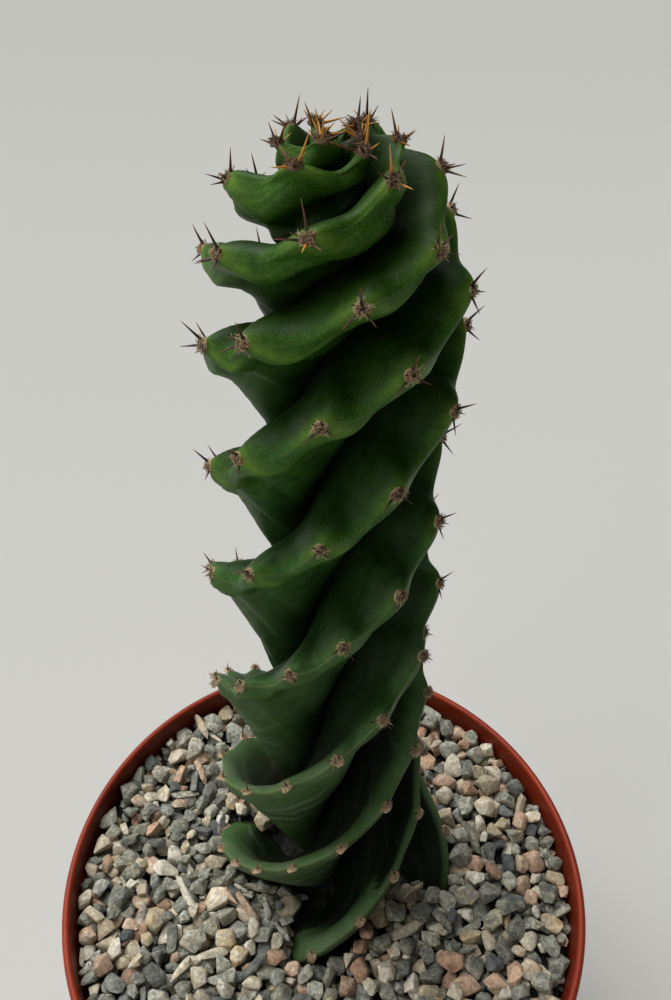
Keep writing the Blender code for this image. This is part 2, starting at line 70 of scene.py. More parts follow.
lens = bpy.data.cameras.new("camera")
lens.sensor_fit = "VERTICAL"
lens.sensor_height = 36.0
lens.lens = FOCAL_LENGTH
lens.clip_start = NEAR_LIMIT
camera = bpy.data.objects.new("camera", lens)
bpy.context.scene.collection.objects.link(camera)
turn = Matrix.Rotation(math.radians(-CAMERA_TURN), 4, "Z")
tilt = Matrix.Rotation(math.radians(90 - CAMERA_DOWN), 4, "X")
roll = Matrix.Rotation(math.radians(CAMERA_ROLL), 4, "Z")
camera.matrix_world = Matrix.Translation(CAMERA_PLACE) @ turn @ tilt @ roll
bpy.context.scene.camera = camera

# Pot: a thin round nursery pot, injection-moulded in polypropylene coloured like terracotta.
# It is one moulding, with a collar under the rim, a foot ring and drain holes in its base.
# The wall is turned from its section, and the holes are cut after.

MM = 0.001
pot_low, pot_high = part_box("pot")
POT_HEIGHT = pot_high.z
RIM_RADIUS = (pot_high.x - pot_low.x) / 2
FOOT_RADIUS = 0.045
WALL = 0.0018
LIP_WALL = 0.0019
LIP_HEIGHT = 0.014
COLLAR_STEP = 0.004
COLLAR_DRAFT = 0.0006
COLLAR_LEDGE = 0.0012
BEAD = 0.0007               # radius of the collar's lower edge and of the foot's edges
UNDER_EDGE = 0.0004         # and of the corner under the collar
BASE_THICKNESS = 0.0025
BASE_CORNER = 0.002
FOOT_RECESS = 0.002
FOOT_RING = 0.006
DRAIN_HOLES = 6
DRAIN_RADIUS = 0.004
DRAIN_CIRCLE = 0.027
DRAIN_START = 19.0
DRAIN_SIDES = 40
CUTTER_DEPTH = 0.02
SHARP_EDGE = 35             # degrees between two faces that meet in a visible edge
POT_SIDES = 256
SPLASHES = (0.004, 0.010)   # dried splashes begin, and are thick, this far below the rim
SHADE_START = 0.0003        # the inner wall turns dark this far below the rim
SHADE_REACH = 0.0012        # and is quite dark this much lower


def linear(hex_colour):
    """An sRGB hex colour as Blender's linear RGBA."""
    channels = [int(hex_colour[i:i + 2], 16) / 255 for i in (1, 3, 5)]
    return (*[c / 12.92 if c <= 0.04045 else ((c + 0.055) / 1.055) ** 2.4 for c in channels], 1.0)


def new_material(name):
    """A material with its tree of nodes, its Principled shader and its object coordinates."""
    material = bpy.data.materials.new(name)
    material.use_nodes = True
    tree = material.node_tree
    place = tree.nodes.new("ShaderNodeTexCoord").outputs["Object"]
    return material, tree, tree.nodes["Principled BSDF"], place


def connect(tree, node, links):
    """Gives each of a node's sockets its value, or links another node's output to it."""
    for name, value in links.items():
        if isinstance(value, bpy.types.NodeSocket):
            tree.links.new(value, node.inputs[name])
        else:
            node.inputs[name].default_value = value


def add_node(tree, kind, links, stops=(), **settings):
    """Adds a node with its settings and links, and a ramp's stops and colours."""
    node = tree.nodes.new("ShaderNode" + kind)
    for name, value in settings.items():
        setattr(node, name, value)
    connect(tree, node, links)
    for number, (place, colour) in enumerate(stops):
        elements = node.color_ramp.elements
        stop = elements[number] if number < 2 else elements.new(place)
        stop.position = place
        stop.color = colour if len(colour) == 4 else linear(colour)
    return node.outputs[0] if len(node.outputs) == 1 else node.outputs


def grey(value):
    return (value, value, value, 1.0)


def arc(centre_r, centre_z, radius, start, end, steps=5):
    """Points of a rounded corner on a turned section, its angles in degrees."""
    angles = [math.radians(start + (end - start) * i / steps) for i in range(steps + 1)]
    return [(centre_r + radius * math.cos(a), centre_z + radius * math.sin(a)) for a in angles]


def turned_mesh(name, section, sides):
    """A closed solid from a section of (radius, height) points, outer side downwards."""
    bm = bmesh.new()
    rings = []
    for radius, height in section:
        if radius == 0:
            rings.append([bm.verts.new((0, 0, height))] * sides)
            continue
        ring = []
        for i in range(sides):
            around = math.tau * i / sides
            ring.append(bm.verts.new((radius * math.cos(around), radius * math.sin(around), height)))
        rings.append(ring)
    for upper, lower in zip(rings, rings[1:] + rings[:1]):
        for i in range(sides):
            j = (i + 1) % sides
            corners = []
            for vertex in (upper[i], lower[i], lower[j], upper[j]):
                if vertex not in corners:
                    corners.append(vertex)
            if len(corners) > 2:
                bm.faces.new(corners)
    mesh = bpy.data.meshes.new(name)
    bm.to_mesh(mesh)
    bm.free()
    mesh.shade_smooth()
    return mesh


def add_piece(name, mesh, material):
    piece = bpy.data.objects.new(name, mesh)
    bpy.context.scene.collection.objects.link(piece)
    mesh.materials.clear()
    mesh.materials.append(material)
    return piece


def apply_modifiers(piece):
    depsgraph = bpy.context.evaluated_depsgraph_get()
    mesh = bpy.data.meshes.new_from_object(piece.evaluated_get(depsgraph))
    piece.modifiers.clear()
    piece.data = mesh


def pot_inner_radius(height):
    """Radius of the pot's inner wall, with a ledge where the collar starts."""
    collar = POT_HEIGHT - LIP_HEIGHT
    taper = (RIM_RADIUS - FOOT_RADIUS - COLLAR_STEP) / collar
    if height < collar:
        return FOOT_RADIUS - WALL + taper * height
    share = (height - collar) / LIP_HEIGHT
    return RIM_RADIUS - LIP_WALL - (1 - share) * COLLAR_LEDGE


def pot_section():
    collar = POT_HEIGHT - LIP_HEIGHT
    floor = FOOT_RECESS + BASE_THICKNESS
    lip = LIP_WALL / 2
    under = pot_inner_radius(collar - COLLAR_LEDGE) + WALL
    section = arc(RIM_RADIUS - lip, POT_HEIGHT - lip, lip, 90, 0, 7)
    section += arc(RIM_RADIUS - COLLAR_DRAFT - BEAD, collar + BEAD, BEAD, 0, -90)
    section += arc(under + UNDER_EDGE, collar - UNDER_EDGE, UNDER_EDGE, 90, 180)
    section += arc(FOOT_RADIUS - BEAD, BEAD, BEAD, 0, -90)
    section += arc(FOOT_RADIUS - FOOT_RING + BEAD, BEAD, BEAD, -90, -180)
    section += [(FOOT_RADIUS - FOOT_RING, FOOT_RECESS), (0, FOOT_RECESS), (0, floor)]
    section += arc(pot_inner_radius(floor) - BASE_CORNER, floor + BASE_CORNER, BASE_CORNER, -90, 0)
    for height in (collar - COLLAR_LEDGE, collar + COLLAR_LEDGE):
        section.append((pot_inner_radius(height), height))
    section += arc(RIM_RADIUS - lip, POT_HEIGHT - lip, lip, 180, 100, 6)
    return section


def moulded_polypropylene():
    """Terracotta-coloured polypropylene: a soft satin shine, a fine moulded grain, a little
    paler where it is scuffed, and dusty with dried splashes low inside the rim. Below the lip the
    inner wall is painted darker as shade."""
    material, tree, shader, place = new_material("moulded_polypropylene")
    cloud = add_node(tree, "TexNoise", {"Vector": place, "Scale": 1 / (30 * MM), "Detail": 5.0})[0]
    tone = add_node(tree, "ValToRGB", {"Fac": cloud}, stops=((0.3, "#7d220a"), (0.7, "#94300d")))[0]
    scuff = add_node(tree, "TexNoise", {"Vector": place, "Scale": 1 / (2.5 * MM), "Detail": 6.0,
                                        "Roughness": 0.7})[0]
    worn = add_node(tree, "ValToRGB", {"Fac": scuff}, stops=((0.56, grey(0)), (0.78, grey(0.4))))[0]
    colour = add_node(tree, "MixRGB", {"Fac": worn, "Color1": tone, "Color2": linear("#ab4a1d")})
    height = add_node(tree, "SeparateXYZ", {"Vector": place})[2]
    splash = add_node(tree, "MapRange", {"Value": height, "From Min": POT_HEIGHT - SPLASHES[0],
                                         "From Max": POT_HEIGHT - SPLASHES[1]})[0]
    speck = add_node(tree, "ValToRGB", {"Fac": scuff}, stops=((0.45, grey(0)), (0.62, grey(0.5))))[0]
    inner = add_node(tree, "Attribute", {}, attribute_name="inner")[2]
    dirt = add_node(tree, "Math", {0: splash, 1: speck}, operation="MULTIPLY")
    dirt = add_node(tree, "Math", {0: dirt, 1: inner}, operation="MULTIPLY")
    colour = add_node(tree, "MixRGB", {"Fac": dirt, "Color1": colour, "Color2": linear("#7a6652")})
    # Painted shade: the inner wall below the lip is darkened to 0.42 of its colour
    painted_deep_shade = add_node(tree, "MapRange", {"Value": inner, "To Min": 1.0, "To Max": 0.42})[0]
    colour = add_node(tree, "MixRGB", {"Fac": 1.0, "Color1": colour, "Color2": painted_deep_shade},
                      blend_type="MULTIPLY")
    rough = add_node(tree, "MapRange", {"Value": scuff, "To Min": 0.36, "To Max": 0.6})[0]
    # A mould's real grain is nearer 0.1 mm, too fine to show, so it is drawn at 0.35 mm
    grain = add_node(tree, "TexNoise", {"Vector": place, "Scale": 1 / (0.35 * MM), "Detail": 3.0})[0]
    bump = add_node(tree, "Bump", {"Height": grain, "Strength": 0.25, "Distance": 0.05 * MM})
    connect(tree, shader, {"Base Color": colour, "Roughness": rough, "Normal": bump,
                           "Specular IOR Level": 0.28})
    return material


terracotta_plastic = moulded_polypropylene()
pot = add_piece("pot_shell", turned_mesh("pot_shell", pot_section(), POT_SIDES), terracotta_plastic)
cutters = []
for hole in range(DRAIN_HOLES):
    bearing = math.radians(DRAIN_START + 360 * hole / DRAIN_HOLES)
    bm = bmesh.new()
    bmesh.ops.create_cone(bm, cap_ends=True, segments=DRAIN_SIDES, radius1=DRAIN_RADIUS,
                          radius2=DRAIN_RADIUS, depth=CUTTER_DEPTH)
    mesh = bpy.data.meshes.new("drain_cutter")
    bm.to_mesh(mesh)
    bm.free()
    cutter = bpy.data.objects.new("drain_cutter", mesh)
    bpy.context.scene.collection.objects.link(cutter)
    cutter.location = (DRAIN_CIRCLE * math.cos(bearing), DRAIN_CIRCLE * math.sin(bearing), 0)
    cut = pot.modifiers.new("Drain", "BOOLEAN")
    cut.operation = "DIFFERENCE"
    cut.object = cutter
    cutters.append(cutter)
bpy.context.view_layer.update()
apply_modifiers(pot)
for cutter in cutters:
    bpy.data.objects.remove(cutter, do_unlink=True)
pot.data.shade_smooth()
pot.data.set_sharp_from_angle(angle=math.radians(SHARP_EDGE))
# Below the lip the inner wall is painted darker as shade; the same mask also places the dried splashes
inner_dust_and_shade_mask = pot.data.attributes.new("inner", "FLOAT", "POINT")
for vertex in pot.data.vertices:
    inside = math.hypot(vertex.co.x, vertex.co.y) < pot_inner_radius(vertex.co.z) + LIP_WALL * 0.4
    drop = (POT_HEIGHT - SHADE_START - vertex.co.z) / SHADE_REACH
    inner_dust_and_shade_mask.data[vertex.index].value = min(max(drop, 0.0), 1.0) if inside else 0.0
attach(pot, "root")
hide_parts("pot")

# Soil: a peat and grit mix packed into the pot under the gravel. It shows only through the
# drain holes and in the deepest gaps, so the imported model's own plug stays, with a new finish.


def potting_mix():
    """Moist peat: nearly black brown crumbs of about 2 mm, with pale grains of perlite."""
    material, tree, shader, place = new_material("potting_mix")
    crumbs = add_node(tree, "TexVoronoi", {"Vector": place, "Scale": 1 / (2.0 * MM)})
    tone = add_node(tree, "ValToRGB", {"Fac": crumbs[0]}, stops=((0.0, "#3a281c"), (0.9, "#150d08")))[0]
    pick = add_node(tree, "SeparateColor", {"Color": crumbs[1]})[0]
    pale = add_node(tree, "Math", {0: pick, 1: 0.95}, operation="GREATER_THAN")
    colour = add_node(tree, "MixRGB", {"Fac": pale, "Color1": tone, "Color2": linear("#b9b1a1")})
    bump = add_node(tree, "Bump", {"Height": crumbs[0], "Strength": 0.8, "Distance": 0.6 * MM},
                    invert=True)
    connect(tree, shader, {"Base Color": colour, "Roughness": 0.95, "Normal": bump})
    return material


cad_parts["soil"].data.materials.clear()
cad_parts["soil"].data.materials.append(potting_mix())

# Stem: one living stem whose four ribs wind round it like a right-handed screw, with waxy green
# skin over firm wet flesh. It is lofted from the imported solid's sizes in many more rows, and
# comes before the gravel, which settles round its foot.

GRAVEL_TOP = POT_HEIGHT - 0.0065        # levels on the stem count from here
RIBS = 4
STEM_HEIGHT = 0.182
STEM_FOOT = (-0.00105, 0.01195)         # its centre at the gravel
STEM_LEAN = (0.012, 0.0106)             # how far it leans to a metre of height
STEM_BOW = (-0.0009, 0.0005)            # and how far it bows at half its height
FOOT_SHIFT = (0.0026, -0.0026)          # the foot stands this far off that line
FOOT_REACH = 0.034                      # and comes back to it at this height
NECK_END_RADIUS = 0.00675
NECK_DEPTH = 0.036
SLIM_LEVELS = (45.0, 115.0)             # slim old ribs turn into full ones between these levels
UPPER_ANGLE = (25.0, 14.0)              # degrees that a rib takes above its crest, low and high up
SHELF_POWER = (2.8, 1.0)                # how thin it is there, low and high up
FLANK_POWER = ((0, 2.2), (14, 1.35), (40, 1.1), (115, 1.0))     # the same below it: level, power
UPPER_BLUNT = 0.45                      # how round the crest is toward the valley above
UPPER_BULGE = 0.95                      # and how full the rib is there
LOWER_BLUNT = 0.17                      # the same toward the valley below
LOWER_BULGE = 1.2
# Level, crest height, crest radius, valley height, valley radius in millimetres; turn in degrees
STATIONS = (
    (-9.8, -9.8, 7.5, -9.8, 7.5, 60),
    (-8.4, -8.4, 20.0, -9.4, 8.2, 63),
    (-5.0, -5.0, 27.5, -8.0, 8.0, 70),
    (0.0, 0.0, 28.5, -7.0, 7.0, 79),
    (13.0, 13.0, 26.6, 0.5, 6.0, 113),
    (26.0, 26.0, 25.0, 10.0, 5.4, 152),
    (52.0, 52.0, 23.0, 36.0, 5.0, 232),
    (78.0, 78.0, 22.6, 66.0, 4.8, 297),
    (104.0, 104.0, 21.5, 99.0, 4.6, 373),
    (130.0, 129.0, 19.9, 130.0, 4.9, 464),
    (156.0, 155.6, 20.6, 156.0, 5.6, 570),
    (169.0, 168.2, 18.4, 166.5, 6.4, 653),
    (176.5, 175.3, 15.2, 170.5, 6.4, 714),
    (182.0, 180.7, 10.3, 174.2, 5.0, 766),
    (187.0, 181.2, 7.7, 176.0, 3.6, 814),
    (191.0, 182.8, 4.8, 177.6, 2.3, 854),
    (194.0, 182.6, 2.1, 179.6, 1.1, 890),
)
CREST_WAVE = 0.0015         # how far a crest rises at each cushion
CREST_SWELL = 0.0008        # how far it stands out there
CROWN_WAVE = 0.0009         # how far it rises at the crown's cushions
CROWN_LEVELS = (150.0, 175.0)
LOW_WAVE = 0.3              # share of the wave that the old ribs have
WAVE_START = 20.0           # it grows from nothing to that share up to this level
WAVE_LEVELS = (40.0, 90.0)  # and to the whole between these levels
CENTRE_RADIUS = 10.0        # crests nearer the growing centre than this, in mm, wave less
# Number of a cushion on its rib, and its level in millimetres
CUSHION_ANCHORS = (
    ((0, -14.0), (1, -3.6), (2, 5.4), (11, 85.5), (12, 95.0), (13, 102.8), (14, 111.2), (15, 120.2),
     (21, 170.1), (22, 175.6), (23, 180.7), (24, 187.4), (25, 192.2), (26, 196.0)),
    ((0, -20.0), (2, 0.9), (3, 11.2), (4, 19.1), (5, 28.2), (13, 107.0), (14, 116.1), (15, 125.6),
     (16, 134.7), (17, 143.9), (22, 177.4), (23, 183.0), (24, 189.4), (25, 193.5), (26, 197.0)),
    ((0, -10.0), (3, 17.9), (4, 23.6), (5, 30.4), (6, 38.6), (7, 47.1), (8, 56.0), (9, 65.0),
     (16, 130.7), (17, 139.8), (18, 149.2), (19, 156.1), (20, 163.1), (23, 180.9), (24, 186.8),
     (25, 192.0), (26, 196.5)),
    ((0, -16.0), (3, 14.0), (7, 50.6), (8, 60.0), (9, 70.6), (10, 79.3), (11, 88.9), (12, 98.2),
     (17, 146.0), (18, 155.7), (19, 160.1), (20, 167.2), (21, 172.2), (22, 178.2), (23, 184.3),
     (24, 190.6), (25, 193.8), (26, 197.0)),
)
FOOT_SPREAD = (0.0030, 0.0, 0.0, 0.0)   # how much further each rib's foot reaches out
BOWL = 0.0055                           # how much deeper the old ribs are dished behind the crest
BOWL_START = (-3.0, 12.0)               # the bowls begin between these levels
BOWL_LEVELS = (62.0, 100.0)             # and fade out between these
BOWL_EDGE = (0.1, 0.42)                 # shares of the rib's depth between which they drop away
RIGHT_SIDE = (0.012, 40.0)              # the darkest hollows lie right of this, below this level
RIGHT_EDGE = (0.02, 0.08)               # and are dark from nearer the crest
NOSE_RISE = (0.0004, 0.0013)    # how far the brow swells above the crest, low down and high up
NOSE_REACH = 0.24               # share of the rib's depth that the brow takes
CROWN_FULLNESS = 12.0           # degrees by which the young ribs are thicker
UNDERCUT = 0.0026               # how far the flank is drawn in below the crest's blunt edge
# Level, and share of the way down the flank that the paler band reaches
BAND_EDGE = ((40, 0.12), (130, 0.14), (150, 0.19), (165, 0.32), (176, 0.55))
UNDERCUT_FALL = 0.11            # share of the way in which the flank turns in
TUBERCLE = 0.0014               # swelling of the flank below each cushion
TUBERCLE_MIDDLE = 0.64          # the part of it that sinks the flank between two cushions
TUBERCLE_SLANT = 8.0            # mm of level by which it slants away from straight down
DENTS = (85.0, 0.0005)          # how many to a metre, and how deep: soft dents all over
LUMPS = (230.0, 0.00012)        # and smaller lumps
CREASES = (50.0, 0.00007)       # and fine creases along the flanks of the young ribs
ROW_STEP = 0.00068              # between the mesh's rows, along a crest
SHELF_COLUMNS = 16              # mesh columns from the valley above a rib to its crest
FLANK_COLUMNS = 27              # and from the crest to the valley below


def smooth_through(knots, values, at):
    """A smooth curve through the knots, read at the given places."""
    knots = np.asarray(knots, float)
    values = np.asarray(values, float)
    at = np.asarray(at, float)
    width = np.diff(knots)
    slope = np.diff(values) / width
    inner = (slope[:-1] * width[1:] + slope[1:] * width[:-1]) / (width[:-1] + width[1:])
    tangent = np.concatenate([slope[:1], inner, slope[-1:]])
    cell = np.clip(np.searchsorted(knots, at) - 1, 0, len(knots) - 2)
    t = (at - knots[cell]) / width[cell]
    start = values[cell] * (1 + 2 * t) * (1 - t) ** 2
    end = values[cell + 1] * t * t * (3 - 2 * t)
    bend = width[cell] * t * (1 - t) * (tangent[cell] * (1 - t) - tangent[cell + 1] * t)
    return start + end + bend


def smooth_step(value, start, end):
    t = np.clip((value - start) / (end - start), 0, 1)
    return t * t * (3 - 2 * t)


def stem_axis(height):
    """Centre of the stem at a height above the gravel line, in metres."""
    share = np.clip(height / STEM_HEIGHT, 0.0, 1.0)
    bulge = 4 * share * (1 - share)
    rise = np.maximum(height, 0.0)
    swing = (1 - np.clip(height / FOOT_REACH, 0.0, 1.0)) ** 2
    x = STEM_FOOT[0] + STEM_LEAN[0] * rise + STEM_BOW[0] * bulge + FOOT_SHIFT[0] * swing
    y = STEM_FOOT[1] + STEM_LEAN[1] * rise + STEM_BOW[1] * bulge + FOOT_SHIFT[1] * swing
    return x, y


def between(pair, share):
    """A value from the first of the pair, where the share is 0, to the second, where it is 1."""
    return pair[0] + (pair[1] - pair[0]) * share


def slimness(level, *pair):
    """A value that goes from the first to the second as the slim ribs turn into full ones."""
    return between(pair, smooth_step(level, *SLIM_LEVELS))


def crest_share(level, way):
    """1 on the rib's crest, 0 in the valleys. The way runs from -1 above to 1 below."""
    blunt = np.where(way < 0, UPPER_BLUNT, LOWER_BLUNT)
    bulge = np.where(way < 0, UPPER_BULGE, LOWER_BULGE)
    fall = (np.sqrt(way ** 2 + blunt ** 2) - blunt) / (np.sqrt(1 + blunt ** 2) - blunt)
    power = np.where(way < 0, slimness(level, *SHELF_POWER), np.interp(level, *zip(*FLANK_POWER)))
    return (1 - np.clip(fall, 0, 1) ** bulge) ** power


def cushion_number(rib, level):
    numbers, levels = zip(*CUSHION_ANCHORS[rib])
    return smooth_through(levels, numbers, level)


# Turn of the crests at each level, to find the crest straight above or below a point
FINE_LEVELS = np.linspace(STATIONS[0][0], STATIONS[-1][0], 2000)
FINE_TURNS = smooth_through([row[0] for row in STATIONS], [row[5] for row in STATIONS], FINE_LEVELS)


def sunken(level, way, share):
    """1 deep in the bowls of the old ribs, 0 on their crests and on the young ribs."""
    behind = np.where(way < 0, smooth_step(1 - share, *BOWL_EDGE), smooth_step(way, 0.4, 1.0))
    return behind * smooth_step(level, *BOWL_START) * (1 - smooth_step(level, *BOWL_LEVELS))


def band_edge(level):
    """How far down across the flank the paler band round the crest reaches."""
    return np.interp(level, *zip(*BAND_EDGE))


def stem_point(rib, level, way):
    """A point of the flesh: rib 0 to 3, level in mm, way from -1 to 1 across the rib."""
    levels, crest_z, crest_r, valley_z, valley_r, turn = zip(*STATIONS)
    columns = [smooth_through(levels, values, level) for values in
               (crest_z, crest_r, valley_z, valley_r, turn)]
    crest_z, crest_r, valley_z, valley_r, turn = columns
    share = crest_share(level, way)
    upper = slimness(level, *UPPER_ANGLE) + CROWN_FULLNESS * smooth_step(level, 162.0, 182.0)
    turned = turn + way * np.where(way < 0, upper, 360 / RIBS - upper)
    over = np.interp(turned, FINE_TURNS, FINE_LEVELS)   # level of the crest straight above or below
    # The crest rises and stands out at each cushion, less so on the old ribs
    wave = np.cos(2 * math.pi * cushion_number(rib, over))
    ramp = LOW_WAVE * np.clip(level / WAVE_START, 0, 1)
    ramp = ramp + (1 - LOW_WAVE) * smooth_step(level, *WAVE_LEVELS)
    crown = np.clip((level - CROWN_LEVELS[0]) / (CROWN_LEVELS[1] - CROWN_LEVELS[0]), 0, 1)
    rise = between((CREST_WAVE, CROWN_WAVE), crown) * ramp
    centre_fade = np.clip(crest_r / CENTRE_RADIUS, 0, 1)
    radius = MM * (valley_r + (crest_r - valley_r) * share)
    radius = radius + CREST_SWELL * ramp * centre_fade * wave * share
    spread = smooth_step(level, -9.5, -5.0) * (1 - smooth_step(level, 2.0, 26.0))
    radius = radius + FOOT_SPREAD[rib] * spread * share
    height = MM * (valley_z + (crest_z - valley_z) * share)
    height = height + rise * centre_fade * wave * share
    # Above the crest the old ribs are dished, and the young ones swell into a brow
    height = height - BOWL * sunken(level, way, share)
    depth = (1 - share) / NOSE_REACH
    brow = np.sqrt(1 - (1 - np.clip(depth, 0, 1)) ** 2) * (1 - smooth_step(depth, 1.0, 3.2))
    swelling = slimness(level, *NOSE_RISE) * np.clip(crest_r / 20.0, 0, 1)
    height = height + np.where(way < 0, swelling * brow, 0)
    # Below it the flank is drawn in under the paler band, and swells under each cushion
    edge = band_edge(level)
    drawn_in = smooth_step(way, edge, edge + UNDERCUT_FALL)
    drawn_in = drawn_in * (1 - smooth_step(way, edge + 0.16, 0.9))
    radius = radius - UNDERCUT * slimness(level, 0.3, 1.0) * drawn_in * centre_fade * ramp
    bulge = np.abs(np.cos(math.pi * cushion_number(rib, over - TUBERCLE_SLANT * way)))
    bulge = bulge - TUBERCLE_MIDDLE
    girdle = smooth_step(way, 0.02, 0.22) * (1 - smooth_step(way, 0.55, 1.0))
    radius = radius + TUBERCLE * slimness(level, 0.5, 1.0) * bulge * girdle * ramp * centre_fade
    around = np.radians(turned - 90 * rib)
    x, y = stem_axis(height)
    return np.stack([x + radius * np.sin(around), y - radius * np.cos(around),
                     GRAVEL_TOP + height], axis=-1)


def stem_levels():
    """Levels of the mesh's rows, evenly spread along a rib's crest."""
    fine = np.linspace(STATIONS[0][0], STATIONS[-1][0], 4000)
    path = stem_point(0, fine, np.zeros_like(fine))
    travelled = np.concatenate([[0], np.cumsum(np.linalg.norm(np.diff(path, axis=0), axis=1))])
    rows = int(round(travelled[-1] / ROW_STEP))
    return np.interp(np.linspace(0, travelled[-1], rows + 1), travelled, fine)


def points_of(mesh):
    points = np.zeros(len(mesh.vertices) * 3, np.float32)
    mesh.vertices.foreach_get("co", points)
    return points.reshape(-1, 3)


def set_attribute(mesh, name, values):
    layer = mesh.attributes.new(name, "FLOAT", "POINT")
    layer.data.foreach_set("value", np.asarray(values, np.float32).ravel())


def rib_ways():
    """Places across a rib, closer together at the crest."""
    shelf = -np.linspace(1, 0, SHELF_COLUMNS + 1)[:-1] ** 1.5
    flank = np.linspace(0, 1, FLANK_COLUMNS + 1)[:-1] ** 1.6
    return np.concatenate([shelf, flank])


def stem_mesh():
    levels = stem_levels()
    ways = rib_ways()
    rib_order = list(reversed(range(RIBS)))
    grid = np.concatenate([stem_point(rib, levels[:, None], ways[None, :]) for rib in rib_order],
                          axis=1)
    rows, count = grid.shape[:2]
    level_of = np.repeat(levels[:, None], count, axis=1)
    way_of = np.repeat(np.tile(ways, RIBS)[None, :], rows, axis=0)
    share_of = crest_share(level_of, way_of)
    x, y = (float(value) for value in stem_axis(np.array(0.0)))
    side = grid[0] - np.array([x, y, 0])
    side[:, 2] = 0
    side /= np.linalg.norm(side, axis=1, keepdims=True)
    neck = np.array([x, y, 0]) + side * NECK_END_RADIUS
    neck[:, 2] = GRAVEL_TOP - NECK_DEPTH
    tip = grid[-1].mean(axis=0)
    end = neck.mean(axis=0)
    points = np.concatenate([neck, grid.reshape(-1, 3), [tip, end]])
    around = np.arange(count)
    after = (around + 1) % count
    faces = []
    for row in range(rows):
        lower = row * count
        upper = lower + count
        faces += np.stack([lower + around, lower + after, upper + after, upper + around], 1).tolist()
    top = rows * count
    faces += [(top + i, top + j, len(points) - 2) for i, j in zip(around, after)]
    faces += [(j, i, len(points) - 1) for i, j in zip(around, after)]
    mesh = bpy.data.meshes.new("stem")
    mesh.from_pydata(points.tolist(), [], faces)
    mesh.update()
    number_of = np.concatenate([np.repeat(cushion_number(rib, levels)[:, None], len(ways), axis=1)
                                for rib in rib_order], axis=1)
    values = []
    for body, low, last in ((level_of, levels[0], levels[-1]), (share_of, 0, 0), (way_of, 1, 1),
                            (number_of, 0.5, 0.5)):
        values.append(np.concatenate([np.full(count, low), body.ravel(), [last, low]]))
    return mesh, *values


def roughen_stem(mesh, level, share, way):
    """Living unevenness: soft dents all over, and creases under the crests of the young ribs."""
    count = len(mesh.vertices)
    normals = np.zeros(count * 3, np.float32)
    mesh.vertex_normals.foreach_get("vector", normals)
    normals = normals.reshape(-1, 3)
    points = points_of(mesh)
    dents = np.array([noise.noise(Vector(p) * DENTS[0]) for p in points])
    lumps = np.array([noise.noise(Vector(p) * LUMPS[0] + Vector((7, 3, 1))) for p in points])
    crease = np.sin(way * CREASES[0] + 3.0 * dents) * smooth_step(level, 70.0, 110.0)
    crease = crease * smooth_step(way, 0.08, 0.2) * (1 - smooth_step(way, 0.35, 0.6))
    calm = smooth_step(share, 0.0, 0.25) * (1 - smooth_step(level, 178.0, 190.0))
    shift = (DENTS[1] * dents + LUMPS[1] * lumps + CREASES[1] * crease) * calm
    points += normals * shift[:, None]
    mesh.vertices.foreach_set("co", points.ravel())
    mesh.update()


